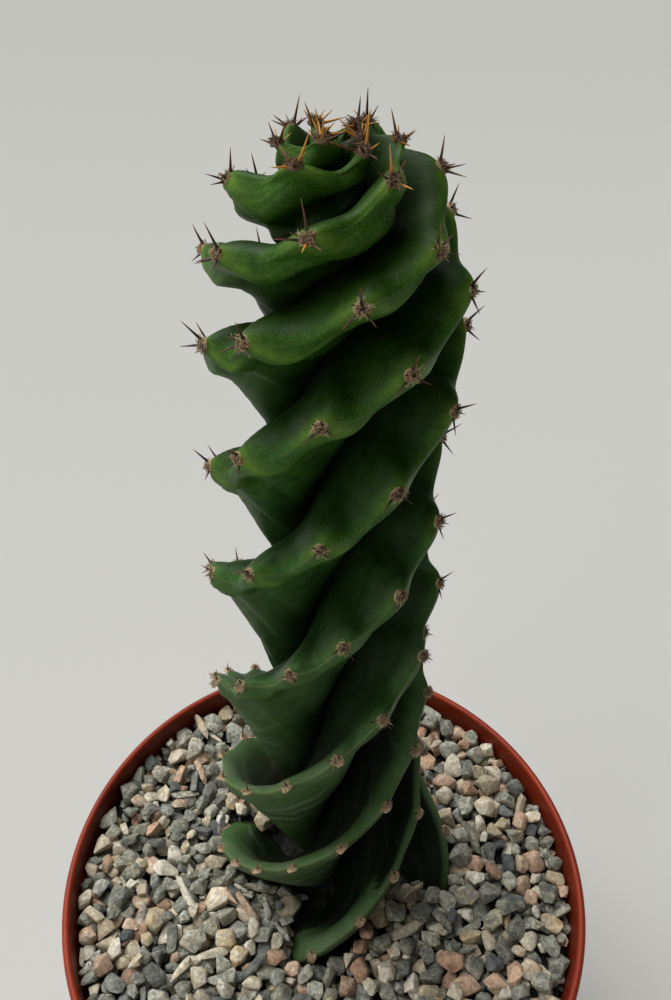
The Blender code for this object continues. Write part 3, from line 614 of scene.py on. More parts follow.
def waxy_skin():
    """Cactus skin: dark green with a satin wax shine, yellower where it is young and round the
    cushions, bluish with bloom where it is old, freckled with fine pale pores on the brows, and
    corky along the oldest edges. Shade is painted into it: darker in the valleys, below the band
    and nearly black in the hollows of the old ribs, with the band round the crest painted paler."""
    material, tree, shader, place = new_material("waxy_cactus_skin")
    level, share, edge, halo, band, pit = [
        add_node(tree, "Attribute", {}, attribute_name=name)[2]
        for name in ("level", "share", "edge", "halo", "band", "pit")]
    youth = add_node(tree, "MapRange", {"Value": level, "From Min": 120.0, "From Max": 184.0})[0]
    age = add_node(tree, "MapRange", {"Value": level, "From Min": 120.0, "From Max": 40.0})[0]
    patch = add_node(tree, "TexNoise", {"Vector": place, "Scale": 1 / (14 * MM), "Detail": 4.0})[0]
    mottle = add_node(tree, "TexNoise", {"Vector": place, "Scale": 1 / (2.4 * MM), "Detail": 5.0,
                                         "Roughness": 0.65})[0]
    grown = add_node(tree, "ValToRGB", {"Fac": mottle}, stops=((0.3, "#1b4010"), (0.72, "#345e1e")))[0]
    young = add_node(tree, "ValToRGB", {"Fac": mottle}, stops=((0.3, "#214306"), (0.72, "#335a0b")))[0]
    colour = add_node(tree, "MixRGB", {"Fac": youth, "Color1": grown, "Color2": young})
    bloom_here = add_node(tree, "MapRange", {"Value": patch, "From Min": 0.38, "From Max": 0.66,
                                             "To Min": 0.3, "To Max": 0.85})[0]
    bloom = add_node(tree, "Math", {0: bloom_here, 1: age}, operation="MULTIPLY")
    # Faint arcs that growth has left on the old flanks, some 4 mm apart
    drift = add_node(tree, "Math", {0: level, 1: 0.5}, operation="MULTIPLY")
    drift = add_node(tree, "Math", {0: patch, 1: 12.0, 2: drift}, operation="MULTIPLY_ADD")
    ring = add_node(tree, "Math", {0: share, 1: 30.0, 2: drift}, operation="MULTIPLY_ADD")
    ring = add_node(tree, "Math", {0: ring}, operation="SINE")
    inward = add_node(tree, "MapRange", {"Value": share, "From Min": 0.9, "From Max": 0.72})[0]
    clear = add_node(tree, "MapRange", {"Value": share, "From Min": 0.2, "From Max": 0.45})[0]
    for limit in (age, inward, clear):
        ring = add_node(tree, "Math", {0: ring, 1: limit}, operation="MULTIPLY")
    arcs = add_node(tree, "MapRange", {"Value": ring, "From Min": 0.35, "From Max": 1.0,
                                       "To Max": 0.42})[0]
    halo = add_node(tree, "Math", {0: halo, 1: mottle}, operation="MULTIPLY")
    for amount, tint in ((bloom, "#53634a"), (arcs, "#7f8e74"), (halo, "#6f9230")):
        colour = add_node(tree, "MixRGB", {"Fac": amount, "Color1": colour, "Color2": linear(tint)})
    # Painted shade: darker in the valleys, below the band and in the hollows of the old ribs;
    # the band itself is painted a little paler as light
    # Painted shade: the valleys are darkened, down to 0.32 high on the stem
    shade = add_node(tree, "MapRange", {"Value": level, "From Min": 30.0, "From Max": 130.0,
                                        "To Min": 1.0, "To Max": 0.32})[0]
    painted_deep_shade = add_node(tree, "MapRange", {"Value": share, "From Min": 0.0, "From Max": 0.8,
                                       "To Min": shade, "To Max": 1.0})[0]
    # Painted light and shade: the band round the crest is lifted to 1.12 and the skin off it darkened
    # to 0.5
    band_painted_light_and_shade = add_node(tree, "MapRange", {"Value": band, "To Min": 0.5, "To Max": 1.12})[0]
    # Painted shade: the hollows of the old ribs are darkened to 0.08 of their colour
    pit_painted_shade = add_node(tree, "MapRange", {"Value": pit, "To Min": 1.0, "To Max": 0.08})[0]
    for factor in (painted_deep_shade, band_painted_light_and_shade, pit_painted_shade):
        colour = add_node(tree, "MixRGB", {"Fac": 1.0, "Color1": colour, "Color2": factor},
                          blend_type="MULTIPLY")
    # Real pores lie some 0.1 mm apart, too fine to show, so they are drawn at 0.27 mm
    pores = add_node(tree, "TexVoronoi", {"Vector": place, "Scale": 1 / (0.27 * MM)})
    dot = add_node(tree, "MapRange", {"Value": pores[0], "From Min": 0.4, "From Max": 0.15,
                                      "To Max": 0.62})[0]
    for factor in (mottle, share, band_painted_light_and_shade, pit_painted_shade):
        dot = add_node(tree, "Math", {0: dot, 1: factor}, operation="MULTIPLY")
    for amount, tint in ((dot, "#7f9464"), (edge, "#7d8a58")):
        colour = add_node(tree, "MixRGB", {"Fac": amount, "Color1": colour, "Color2": linear(tint)})
    rough = add_node(tree, "MapRange", {"Value": mottle, "To Min": 0.38, "To Max": 0.6})[0]
    fine = add_node(tree, "Bump", {"Height": pores[0], "Strength": 0.3, "Distance": 0.05 * MM})
    soft = add_node(tree, "Bump", {"Height": mottle, "Strength": 0.5, "Distance": 0.15 * MM,
                                   "Normal": fine})
    steps = add_node(tree, "Bump", {"Height": ring, "Strength": 0.5, "Distance": 0.1 * MM,
                                    "Normal": soft})
    connect(tree, shader, {"Base Color": colour, "Roughness": rough, "Normal": steps,
                           "IOR": 1.42, "Specular IOR Level": 0.17})
    return material


cactus_skin = waxy_skin()
flesh_mesh, level_values, share_values, way_values, number_values = stem_mesh()
roughen_stem(flesh_mesh, level_values, share_values, way_values)
off_cushion = np.abs(number_values - np.round(number_values))
corky = 0.12 + 0.45 * (1 - smooth_step(level_values, 70.0, 125.0))
halo_values = 1.1 * np.exp(-(off_cushion / 0.2) ** 2 - (way_values / 0.22) ** 2)
halo_values = halo_values * smooth_step(level_values, 80.0, 150.0)
# The brow and crest keep a band that is painted paler as light, and the shelf above it and
# the flank below it are painted darker as shade; in the old ribs the rest is painted as pale as the
# band
below = 0.5 * smooth_step(way_values - band_edge(level_values), 0.0, 0.1)
band_values = np.where(way_values < 0, 1 - smooth_step(-way_values, 0.05, 0.3),
                       1 - below - 0.5 * smooth_step(way_values, 0.6, 1.0))
band_values = band_values + (1 - band_values) * (1 - smooth_step(level_values, 50.0, 90.0))
# Hardly any light gets into the hollows of the old ribs, least of all on the right-hand side,
# so they are painted nearly black as shade
on_right = (points_of(flesh_mesh)[:, 0] > RIGHT_SIDE[0]) & (level_values < RIGHT_SIDE[1])
pit_values = np.where(on_right, smooth_step(1 - share_values, *RIGHT_EDGE),
                      smooth_step(1 - share_values, *BOWL_EDGE)) * (way_values < 0)
pit_values = pit_values * (1 - smooth_step(level_values, *BOWL_LEVELS))
for name, values in (("level", level_values), ("share", share_values), ("halo", halo_values),
                     ("edge", corky * np.exp(-(way_values / 0.02) ** 2)),
                     ("band", band_values), ("pit", pit_values)):
    set_attribute(flesh_mesh, name, values)
flesh_mesh.shade_smooth()
stem = add_piece("stem", flesh_mesh, cactus_skin)
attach(stem, "root")
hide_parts("cactus")

# Felt cushions: along each crest, for every 8 mm or so of height, sits a small pad of matted tan
# wool, from which the spines grow. Each is a low lumpy dome whose middle is dark, ringed by
# curled tufts that lie out over the skin.

FIRST_CUSHION = -1.0        # levels of the lowest and the highest
LAST_CUSHION = 194.0
PAD_RADIUS = (0.00135, 0.00105)     # low and high on the stem
PAD_STRETCH = 1.12          # a pad is this much longer along the rib than across it
PAD_HEIGHT = 0.0007
PAD_SINK = 0.0003
PAD_LUMPS = 0.00022
PAD_SIDES = 20
PAD_RINGS = 8
TUFTS = 56
TUFT_LENGTH = 0.0009
TUFT_RADIUS = 0.00006
TUFT_POINTS = 10            # three rings of three and the tip
FELT_SEED = 5


def cushion_levels(rib):
    fine = np.linspace(FIRST_CUSHION, LAST_CUSHION, 4000)
    number = cushion_number(rib, fine)
    first = math.ceil(number[0])
    return [float(np.interp(whole, number, fine)) for whole in range(first, int(number[-1]) + 1)]


def youth_of(level):
    """0 at the foot of the stem, 1 at its tip."""
    return min(max(level * MM / STEM_HEIGHT, 0.0), 1.0)


def random_vector(rng, low, high):
    return Vector([rng.uniform(low, high) for _ in range(3)])


def rib_point(rib, level, way=0.0):
    return Vector(stem_point(rib, np.array(level), np.array(way)))


def cushion_frame(rib, level):
    """A cushion's seat on the crest, and its frame: along the rib, across it, outwards."""
    step = 0.5
    here = rib_point(rib, level)
    core = rib_point(rib, level, -1.0) + rib_point(rib, level, 1.0)
    along = (rib_point(rib, level + step) - rib_point(rib, level - step)).normalized()
    out = (rib_point(rib, level, -0.25) - rib_point(rib, level, 0.1)).cross(along).normalized()
    if out.dot(here - core / 2) < 0:
        out.negate()
    return here, Matrix((along, out.cross(along), out)).transposed()


def add_spike(points, faces, path, radii, sides):
    """A tapered shaft along a path. Returns how far along it each new point lies, 0 to 1."""
    start = len(points)
    along = []
    steps = len(path) - 1
    way = (path[-1] - path[0]).normalized()
    across = way.orthogonal().normalized()
    for number, (place, radius) in enumerate(zip(path[:-1], radii)):
        for side in range(sides):
            ring = Matrix.Rotation(math.tau * side / sides, 3, way)
            points.append(place + ring @ across * radius)
            along.append(number / steps)
    points.append(path[-1])
    along.append(1.0)
    for number in range(steps - 1):
        low = start + number * sides
        for side in range(sides):
            other = (side + 1) % sides
            faces.append((low + side, low + other, low + sides + other, low + sides + side))
    last = start + (steps - 1) * sides
    for side in range(sides):
        faces.append((last + side, last + (side + 1) % sides, len(points) - 1))
    faces.append(tuple(start + side for side in reversed(range(sides))))
    return along


def mesh_of(name, points, faces):
    mesh = bpy.data.meshes.new(name)
    mesh.from_pydata([tuple(point) for point in points], [], faces)
    mesh.update()
    mesh.shade_smooth()
    return mesh


def add_pad(points, faces, radial, seat, frame_of, radius, rng):
    """The lumpy dome of felt, a little longer along the rib, with its root inside the flesh."""
    start = len(points)
    offset = random_vector(rng, 0, 90)
    for ring in range(PAD_RINGS + 1):
        slope = math.pi * 0.6 * ring / PAD_RINGS
        for side in range(PAD_SIDES if ring else 1):
            around = math.tau * side / PAD_SIDES
            ragged = noise.noise(Vector((math.cos(around), math.sin(around), 0)) * 1.8 + offset)
            spread = radius * math.sin(slope) * (1 + 0.22 * ragged)
            local = Vector((spread * math.cos(around) * PAD_STRETCH, spread * math.sin(around), 0))
            lump = noise.noise(local * 2300 + offset) + 0.6 * noise.noise(local * 5200 + offset)
            local.z = PAD_HEIGHT * math.cos(slope) - PAD_SINK + PAD_LUMPS * lump
            points.append(seat + frame_of @ local)
            radial.append(0.75 * ring / PAD_RINGS + 0.35 * lump)
    for side in range(PAD_SIDES):
        other = (side + 1) % PAD_SIDES
        faces.append((start, start + 1 + side, start + 1 + other))
        for ring in range(1, PAD_RINGS):
            inner = start + 1 + (ring - 1) * PAD_SIDES
            faces.append((inner + side, inner + PAD_SIDES + side,
                          inner + PAD_SIDES + other, inner + other))
    last = start + 1 + (PAD_RINGS - 1) * PAD_SIDES
    faces.append(tuple(last + side for side in reversed(range(PAD_SIDES))))


def dry_wool():
    """Plant wool: matt tan fibres, brown in the middle of the pad and bleached at its rim."""
    material, tree, shader, place = new_material("dry_plant_wool")
    radial, fresh, weathered = [add_node(tree, "Attribute", {}, attribute_name=name)[2]
                                for name in ("radial", "fresh", "weathered")]
    clump = add_node(tree, "TexNoise", {"Vector": place, "Scale": 1 / (0.35 * MM), "Detail": 3.0})[0]
    mixed = add_node(tree, "MapRange", {"Value": clump, "To Min": -0.3, "To Max": 0.3})[0]
    reach = add_node(tree, "Math", {0: radial, 1: mixed}, operation="ADD")
    tone = add_node(tree, "ValToRGB", {"Fac": reach},
                    stops=((0.0, "#33251a"), (0.34, "#82694d"), (0.75, "#c4ae89")))[0]
    for amount, tint in ((fresh, "#4a3422"), (weathered, "#b79c80")):
        tone = add_node(tree, "MixRGB", {"Fac": amount, "Color1": tone, "Color2": linear(tint)})
    connect(tree, shader, {"Base Color": tone, "Roughness": 0.9})
    return material


rng = random.Random(FELT_SEED)
points, faces, radial, fresh, weathered = [], [], [], [], []
cushions = [(rib, level) for rib in range(RIBS) for level in cushion_levels(rib)]
for rib, level in cushions:
    seat, frame_of = cushion_frame(rib, level)
    radius = between(PAD_RADIUS, youth_of(level))
    add_pad(points, faces, radial, seat, frame_of, radius, rng)
    for _ in range(TUFTS):
        around = rng.uniform(0, math.tau)
        reach = rng.uniform(0.25, 1.0)
        side = Vector((math.cos(around) * PAD_STRETCH, math.sin(around), 0))
        root = side * radius * 0.9 * reach + Vector((0, 0, PAD_HEIGHT * (0.75 - 0.7 * reach ** 2)))
        curl = Vector((-side.y, side.x, 0)) * rng.uniform(-1.2, 1.2)
        lean = side * reach * rng.uniform(0.3, 1.3) + Vector((0, 0, rng.uniform(0.4, 1.1)))
        fall = Vector((0, 0, rng.uniform(-0.9, -0.2)))
        length = TUFT_LENGTH * rng.uniform(0.4, 1.0)
        path = []
        for t in (0, 0.4, 0.75, 1):
            path.append(seat + frame_of @ (root + (lean * t + (curl + fall) * t * t) * length))
        add_spike(points, faces, path, (TUFT_RADIUS, TUFT_RADIUS, TUFT_RADIUS * 0.7), 3)
        radial += [0.3 + 0.6 * reach * rng.uniform(0.6, 1.1)] * TUFT_POINTS
    added = len(points) - len(fresh)
    fresh += [0.75 * float(smooth_step(level, 172.0, 184.0))] * added
    weathered += [0.55 * float(1 - smooth_step(level, 30.0, 110.0))] * added
felt_mesh = mesh_of("felt_cushions", points, faces)
for name, values in (("radial", radial), ("fresh", fresh), ("weathered", weathered)):
    set_attribute(felt_mesh, name, values)
felt = add_piece("felt_cushions", felt_mesh, dry_wool())
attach(felt, "root")
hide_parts("cactus")

# Spines: stiff, straight, needle-sharp horn. Young ones near the tip are long, dark at the root
# and amber or red at the point; old ones low down are short and few. Each is a tapered shaft
# with a swollen root inside the felt.

SPINE_LENGTH = (0.0026, 0.0047)     # low and high on the stem
SPINE_RADIUS = (0.00015, 0.00027)   # of the shortest and the longest
# Direction round the cushion from straight up, in radians; angle from straight out, in degrees;
# and length against the usual one. Old cushions have only the first few left.
SPINE_PLACES = (
    (0, 34, 1.1), (2.3, 62, 0.95), (-2.2, 66, 0.7), (1.2, 56, 0.5), (-1.1, 48, 0.6), (3.1, 40, 0.75),
)
SPINE_LEVELS = ((60, 2), (125, 3), (170, 4), (200, 6))      # up to this level, so many spines
SPINE_ROOT = (0.0003, -0.0004)      # its root lies this far off the middle, and this deep
SPINE_DROOP = 0.05
SPINE_SIDES = 7
SPINE_RINGS = 7
SPINE_SEED = 11
SPINE_TOP = cad_high.z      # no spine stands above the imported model


def spine_horn():
    """Spine horn: hard and glossy, near black at the root, red-brown along the shaft and amber
    at the point; the newest are amber all over."""
    material, tree, shader, _ = new_material("spine_horn")
    along, fresh = [add_node(tree, "Attribute", {}, attribute_name=name)[2]
                    for name in ("along", "fresh")]
    grown = add_node(tree, "ValToRGB", {"Fac": along}, stops=(
        (0.0, "#140b08"), (0.45, "#26110c"), (0.82, "#6b3018"), (1.0, "#a8693a")))[0]
    new = add_node(tree, "ValToRGB", {"Fac": along}, stops=(
        (0.0, "#8a3c14"), (0.3, "#cf7f1f"), (1.0, "#e8b145")))[0]
    colour = add_node(tree, "MixRGB", {"Fac": fresh, "Color1": grown, "Color2": new})
    connect(tree, shader, {"Base Color": colour, "Roughness": 0.38})
    return material


def add_spine(points, faces, along, fresh, seat, frame_of, bearing, tilt, length, newness, rng):
    """One spine: bearing is its direction round the cushion, tilt its angle from straight out."""
    side = Vector((math.cos(bearing), math.sin(bearing), 0))
    way = frame_of @ (side * math.sin(tilt) + Vector((0, 0, math.cos(tilt))))
    droop = random_vector(rng, -1, 1) * SPINE_DROOP
    root = seat + frame_of @ (side * SPINE_ROOT[0] + Vector((0, 0, SPINE_ROOT[1])))
    thick = between(SPINE_RADIUS, min(length / SPINE_LENGTH[1], 1))
    path, radii = [], []
    for ring in range(SPINE_RINGS + 1):
        t = ring / SPINE_RINGS
        path.append(root + (way * t + droop * t * t) * length)
        radii.append(thick * (1 - t) ** 0.75 * (1.25 - 0.25 * min(t * 5, 1)))
    high = path[-1].z - SPINE_TOP
    if high > 0:
        path = [place - Vector((0, 0, high * (i / SPINE_RINGS))) for i, place in enumerate(path)]
    added = add_spike(points, faces, path, radii, SPINE_SIDES)
    along += added
    fresh += [newness] * len(added)


rng = random.Random(SPINE_SEED)
points, faces, along, fresh = [], [], [], []
for rib, level in cushions:
    seat, frame_of = cushion_frame(rib, level)
    newest = float(smooth_step(level, 168.0, 194.0))
    reach = between(SPINE_LENGTH, youth_of(level) ** 1.5)
    local_up = frame_of.inverted() @ Vector((0, 0, 1))
    up = math.atan2(local_up.y, local_up.x)
    count = next(number for top, number in SPINE_LEVELS if level < top)
    for turn, tilt, share in SPINE_PLACES[:count]:
        turn += rng.uniform(-0.35, 0.35)
        tilt = math.radians(tilt + rng.uniform(-10, 10))
        length = reach * share * rng.uniform(0.8, 1.12)
        fresh_one = 0.9 if rng.random() < 0.5 * newest else 0.35 * newest * rng.random()
        add_spine(points, faces, along, fresh, seat, frame_of, up + turn, tilt, length,
                  fresh_one, rng)
spine_mesh = mesh_of("spines", points, faces)
for name, values in (("along", along), ("fresh", fresh)):
    set_attribute(spine_mesh, name, values)
spines = add_piece("spines", spine_mesh, spine_horn())
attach(spines, "root")
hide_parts("cactus")

# Gravel: a top dressing of washed crushed grit, 3 to 9 mm with a few splinters, some 1,600 loose
# stones in mixed rock: grey granite, dark slate, cream quartz and pink feldspar. Each is an
# angular chip with worn edges, dropped at the lowest free place, until the bed is full.

BED_LEVEL = GRAVEL_TOP - 0.0042     # top of the dark small grit under the stones that show
BED_RISE = 0.0024                   # the bed lies this much higher toward the back and the right
WALL_RISE = 0.0022                  # and this much higher against the pot's wall on the left
CELL = 0.0005                       # grid on which the stones settle
STONE_SEED = 21
STONE_COUNT = 1750
STONE_LENGTH = (4.6, 1.3, 2.6, 9.0)     # mean, spread, least and most, in mm
STONE_CROWN = 0.0064                # no stone's middle lies further than this above the bed
STONE_TIP = (0.4, 0.3)              # most that a stone tips, in radians, each way
BED_GIVE = 0.0008                   # stones press this far into the bed
STONE_GIVE = 0.0002                 # and this far into each other
STEM_BAND = (-0.003, 0.002)         # heights from the gravel line where flesh keeps stones out
LARGE_ONES = 60                     # so many of the largest are dropped first
DROPS = 26                          # places that each stone tries
SPLINTER_SHARE = 0.06               # share of the stones that are long thin flakes
SPLINTER = (1.7, 0.6)               # how much longer and how much narrower those are
SHAPES = 60                         # different chips
CHIP_CORNERS = (11, 16)             # least and most
CHIP_WEAR = (0.12, 0.24)            # how broadly the edges are worn, against the half length
CHIP_UNEVEN = ((1.9, 0.10), (5.0, 0.06))    # how close the lumps of its face lie, and how high
CHIP_FLATNESS = 24                  # degrees: faces that meet at less are one broken face
CHIP_EDGE = 38                      # degrees: faces that meet at more keep a sharp edge
# Name, share of the stones, size against the others
GRIT_KINDS = (
    ("grey_grit", 0.31, 1.0), ("granite_grit", 0.22, 1.0), ("slate_grit", 0.07, 0.9),
    ("cream_grit", 0.27, 1.0), ("pink_grit", 0.13, 1.05),
)
# Kind, place, bearing and half sizes of a pale stone lodged in the hollow of an old rib
LODGED_STONE = (3, (-0.0166, 0.0176, 0.1052), 0.6, (0.0029, 0.0025, 0.0021))


def bed_height(x, y):
    """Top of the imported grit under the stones."""
    slope = (0.8 * x + 0.45 * y) / RIM_RADIUS
    banked = smooth_step(np.hypot(x, y) / RIM_RADIUS, 0.6, 0.95) * smooth_step(-slope, -0.3, 0.3)
    return BED_LEVEL + BED_RISE * smooth_step(slope, -0.3, 0.9) + WALL_RISE * banked


def chip_shape(rng):
    """Points and faces of one stone: a hull with few corners, its edges worn and face uneven."""
    bm = bmesh.new()
    for _ in range(rng.randint(*CHIP_CORNERS)):
        way = Vector((rng.gauss(0, 1), rng.gauss(0, 1), rng.gauss(0, 1))).normalized()
        bm.verts.new(way * rng.uniform(0.82, 1.0))
    hull = bmesh.ops.convex_hull(bm, input=bm.verts[:])
    loose = [part for part in hull["geom_unused"] + hull["geom_interior"] if part.is_valid]
    bmesh.ops.delete(bm, geom=list(set(loose)), context="VERTS")
    bmesh.ops.dissolve_limit(bm, angle_limit=math.radians(CHIP_FLATNESS), verts=bm.verts[:],
                             edges=bm.edges[:])
    bmesh.ops.bevel(bm, geom=bm.edges[:], offset=rng.uniform(*CHIP_WEAR), segments=2,
                    profile=0.55, affect="EDGES", clamp_overlap=True)
    bmesh.ops.triangulate(bm, faces=bm.faces[:])
    long_edges = [edge for edge in bm.edges if edge.calc_length() > 0.62]
    bmesh.ops.subdivide_edges(bm, edges=long_edges, cuts=1)
    bmesh.ops.triangulate(bm, faces=bm.faces[:])
    offset = random_vector(rng, 0, 50)
    for vertex in bm.verts:
        for scale, amount in CHIP_UNEVEN:
            vertex.co *= 1 + amount * noise.noise(vertex.co * scale + offset)
    bm.verts.ensure_lookup_table()
    shape = np.array([vertex.co for vertex in bm.verts])
    corners = np.array([[vertex.index for vertex in face.verts] for face in bm.faces])
    bm.free()
    shape -= (shape.max(axis=0) + shape.min(axis=0)) / 2
    return shape / np.abs(shape).max(axis=0), corners


def stem_outline(low, high, grid_x, grid_y):
    """Cells of the settling grid that the flesh fills between two heights."""
    blocked = np.zeros(grid_x.shape, bool)
    levels = np.linspace(-9, 40, 700)
    ways = rib_ways()
    bins = 720
    for height in np.arange(low, high, 0.001):
        x, y = (float(value) for value in stem_axis(np.array(height - GRAVEL_TOP)))
        reach = np.zeros(bins)
        for rib in range(RIBS):
            flesh = stem_point(rib, levels[:, None], ways[None, :]).reshape(-1, 3)
            flesh = flesh[np.abs(flesh[:, 2] - height) < 0.0008]
            bearing = np.arctan2(flesh[:, 1] - y, flesh[:, 0] - x) % math.tau
            number = (bearing / math.tau * bins).astype(int) % bins
            np.maximum.at(reach, number, np.hypot(flesh[:, 0] - x, flesh[:, 1] - y))
        bearing = np.arctan2(grid_y - y, grid_x - x) % math.tau
        number = (bearing / math.tau * bins).astype(int) % bins
        blocked |= np.hypot(grid_x - x, grid_y - y) < reach[number]
    return blocked


def settle_stones():
    """Gives each stone its kind, place, turn and size, by dropping it on those below."""
    rng = random.Random(STONE_SEED)
    cells = int(2 * RIM_RADIUS / CELL) + 4
    half = cells * CELL / 2
    centre = np.arange(cells) * CELL - half + CELL / 2
    grid_x, grid_y = np.meshgrid(centre, centre, indexing="ij")
    wall = pot_inner_radius(GRAVEL_TOP)
    bed_top = bed_height(grid_x, grid_y)
    ground = bed_top - BED_GIVE
    closed = stem_outline(GRAVEL_TOP + STEM_BAND[0], GRAVEL_TOP + STEM_BAND[1], grid_x, grid_y)
    closed |= np.hypot(grid_x, grid_y) > wall
    _, (x, y, z), _, (reach, _, high) = LODGED_STONE
    over = np.hypot(grid_x - x, grid_y - y) / reach
    ground = np.where(over < 1, z + high * np.sqrt(np.clip(1 - over ** 2, 0, 1)), ground)
    stones = [LODGED_STONE]
    mean, spread, least, most = STONE_LENGTH
    sizes = [min(max(rng.gauss(mean, spread), least), most) for _ in range(STONE_COUNT)]
    sizes.sort(reverse=True)
    small = sizes[LARGE_ONES:]
    for size in sizes[:LARGE_ONES] + rng.sample(small, len(small)):
        draw = rng.random()
        for kind, (name, share, _) in enumerate(GRIT_KINDS):
            draw -= share
            if draw < 0:
                break
        long_half = size * MM / 2 * GRIT_KINDS[kind][2]
        wide_half = long_half * rng.uniform(0.62, 0.92)
        if rng.random() < SPLINTER_SHARE:
            long_half, wide_half = long_half * SPLINTER[0], wide_half * SPLINTER[1]
        thick_half = wide_half * rng.uniform(0.6, 0.9)
        bearing = rng.uniform(0, math.tau)
        best = None
        patch = int(long_half / CELL) + 1
        span = np.arange(-patch, patch + 1) * CELL
        u, v = np.meshgrid(span, span, indexing="ij")
        along = u * math.cos(bearing) + v * math.sin(bearing)
        across = -u * math.sin(bearing) + v * math.cos(bearing)
        inside = 1 - (along / long_half) ** 2 - (across / wide_half) ** 2
        foot = inside > 0.12
        belly = thick_half * np.sqrt(np.clip(inside, 0, 1))
        for _ in range(DROPS):
            spread = wall * math.sqrt(rng.random())
            around = rng.uniform(0, math.tau)
            i = int((spread * math.cos(around) + half) / CELL)
            j = int((spread * math.sin(around) + half) / CELL)
            if i < patch or j < patch or i + patch >= cells or j + patch >= cells:
                continue
            window = (slice(i - patch, i + patch + 1), slice(j - patch, j + patch + 1))
            if (closed[window] & (inside > 0.3)).any():
                continue
            height = np.quantile(ground[window][foot] + belly[foot], 0.9) - STONE_GIVE
            if best is None or height < best[0]:
                best = (height, i, j, window)
        if best is None:
            continue
        height, i, j, window = best
        if height + 0.6 * thick_half > bed_top[i, j] + STONE_CROWN:
            continue
        top = np.where(inside > 0, height + belly, -1.0)
        ground[window] = np.maximum(ground[window], top)
        stones.append((kind, (centre[i], centre[j], height), bearing,
                       (long_half, wide_half, thick_half)))
    return stones


def rock(name, grain, dark, middle, light, stain, roughness, contrast):
    """A washed stone of one tone out of a range, stained in patches, its broken face made of
    mineral grains that differ in tone, with fine pits between them."""
    material, tree, shader, place = new_material(name)
    tone, stained = [add_node(tree, "Attribute", {}, attribute_name=name)[2]
                     for name in ("tone", "stain")]
    shade = add_node(tree, "ValToRGB", {"Fac": tone},
                     stops=((0.0, dark), (0.5, middle), (1.0, light)))[0]
    cloud = add_node(tree, "TexNoise", {"Vector": place, "Scale": 1 / (2.6 * MM), "Detail": 4.0})[0]
    patch = add_node(tree, "MapRange", {"Value": cloud, "From Min": 0.4, "From Max": 0.65})[0]
    patch = add_node(tree, "Math", {0: patch, 1: stained}, operation="MULTIPLY")
    colour = add_node(tree, "MixRGB", {"Fac": patch, "Color1": shade, "Color2": linear(stain)})
    rubble = add_node(tree, "TexNoise", {"Vector": place, "Scale": 1 / (grain * MM), "Detail": 6.0,
                                         "Roughness": 0.8})[0]
    fleck = add_node(tree, "ValToRGB", {"Fac": rubble},
                     stops=((0.36, grey(0.66)), (0.64, grey(1.25))))[0]
    minerals = add_node(tree, "TexVoronoi", {"Vector": place, "Scale": 1 / (grain * 1.3 * MM)})
    pick = add_node(tree, "SeparateColor", {"Color": minerals[1]})[0]
    crystal = add_node(tree, "MapRange", {"Value": pick, "To Min": 1 - contrast,
                                          "To Max": 1 + contrast})[0]
    for factor in (fleck, crystal):
        colour = add_node(tree, "MixRGB", {"Fac": 1.0, "Color1": colour, "Color2": factor},
                          blend_type="MULTIPLY")
    bump = add_node(tree, "Bump", {"Height": rubble, "Strength": 0.8, "Distance": 0.3 * MM})
    connect(tree, shader, {"Base Color": colour, "Roughness": roughness, "Normal": bump,
                           "Specular IOR Level": 0.35})
    return material


# Common name, grain in mm, dark, middle and light tone, stain, roughness, contrast of the grains
rocks = {
    "grey_grit": rock("river_granite", 0.6, "#7e8074", "#9a9a90", "#b9b7a8", "#b0a588", 0.75, 0.4),
    "granite_grit": rock("dark_granite", 0.5, "#5c5f59", "#777972", "#96978c", "#a8a18c", 0.75, 0.4),
    "slate_grit": rock("slate_chips", 0.9, "#4a4e4e", "#606465", "#7a7e7b", "#8f8f82", 0.68, 0.25),
    "cream_grit": rock("quartz_pebbles", 0.8, "#b3a78d", "#cec4ac", "#e3dccb", "#c4a577", 0.6, 0.2),
    "pink_grit": rock("feldspar_pebbles", 0.7, "#a8866c", "#c29e83", "#d6b69c", "#cfc3ac", 0.68, 0.25),
}
stones = settle_stones()
rng = random.Random(STONE_SEED + 1)
shapes = [chip_shape(rng) for _ in range(SHAPES)]
for kind, (name, _, _) in enumerate(GRIT_KINDS):
    clouds, corners, tones, stains = [], [], [], []
    count = 0
    for stone_kind, place, bearing, halves in stones:
        if stone_kind != kind:
            continue
        shape, shape_faces = shapes[rng.randrange(SHAPES)]
        tip = Matrix.Rotation(bearing, 3, "Z")
        for most, axis in zip(STONE_TIP, "XY"):
            tip = tip @ Matrix.Rotation(rng.uniform(-most, most), 3, axis)
        flip = np.array([rng.choice((-1, 1)), rng.choice((-1, 1)), 1])
        cloud = (shape * np.array(halves) * flip) @ np.array(tip).T + np.array(place)
        over = np.hypot(cloud[:, 0], cloud[:, 1])
        limit = np.array([pot_inner_radius(z) - 0.0001 for z in cloud[:, 2]])
        cloud[:, :2] *= np.minimum(1, limit / over)[:, None]
        faces_here = shape_faces if flip[0] * flip[1] > 0 else shape_faces[:, ::-1]
        clouds.append(cloud)
        corners.append(faces_here + count)
        tones.append(np.full(len(cloud), rng.random()))
        stains.append(np.full(len(cloud), rng.random() ** 2))
        count += len(cloud)
    mesh = mesh_of(name, np.concatenate(clouds), np.concatenate(corners).tolist())
    mesh.set_sharp_from_angle(angle=math.radians(CHIP_EDGE))
    set_attribute(mesh, "tone", np.concatenate(tones))
    set_attribute(mesh, "stain", np.concatenate(stains))
    grit = add_piece(name, mesh, rocks[name])
    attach(grit, "root")
    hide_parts("gravel")

# Bed: the finer grit below the stones that show, packed down to the soil. It is one closed slab,
# turned from its section, with a crumbled top that is banked like the stones on it.

BED_SIDES = 160
BED_RINGS = 48
BED_CLEARANCE = 0.0004      # from the pot's wall
BED_CRUMBS = (420.0, 0.0008)    # how many to a metre, and how high


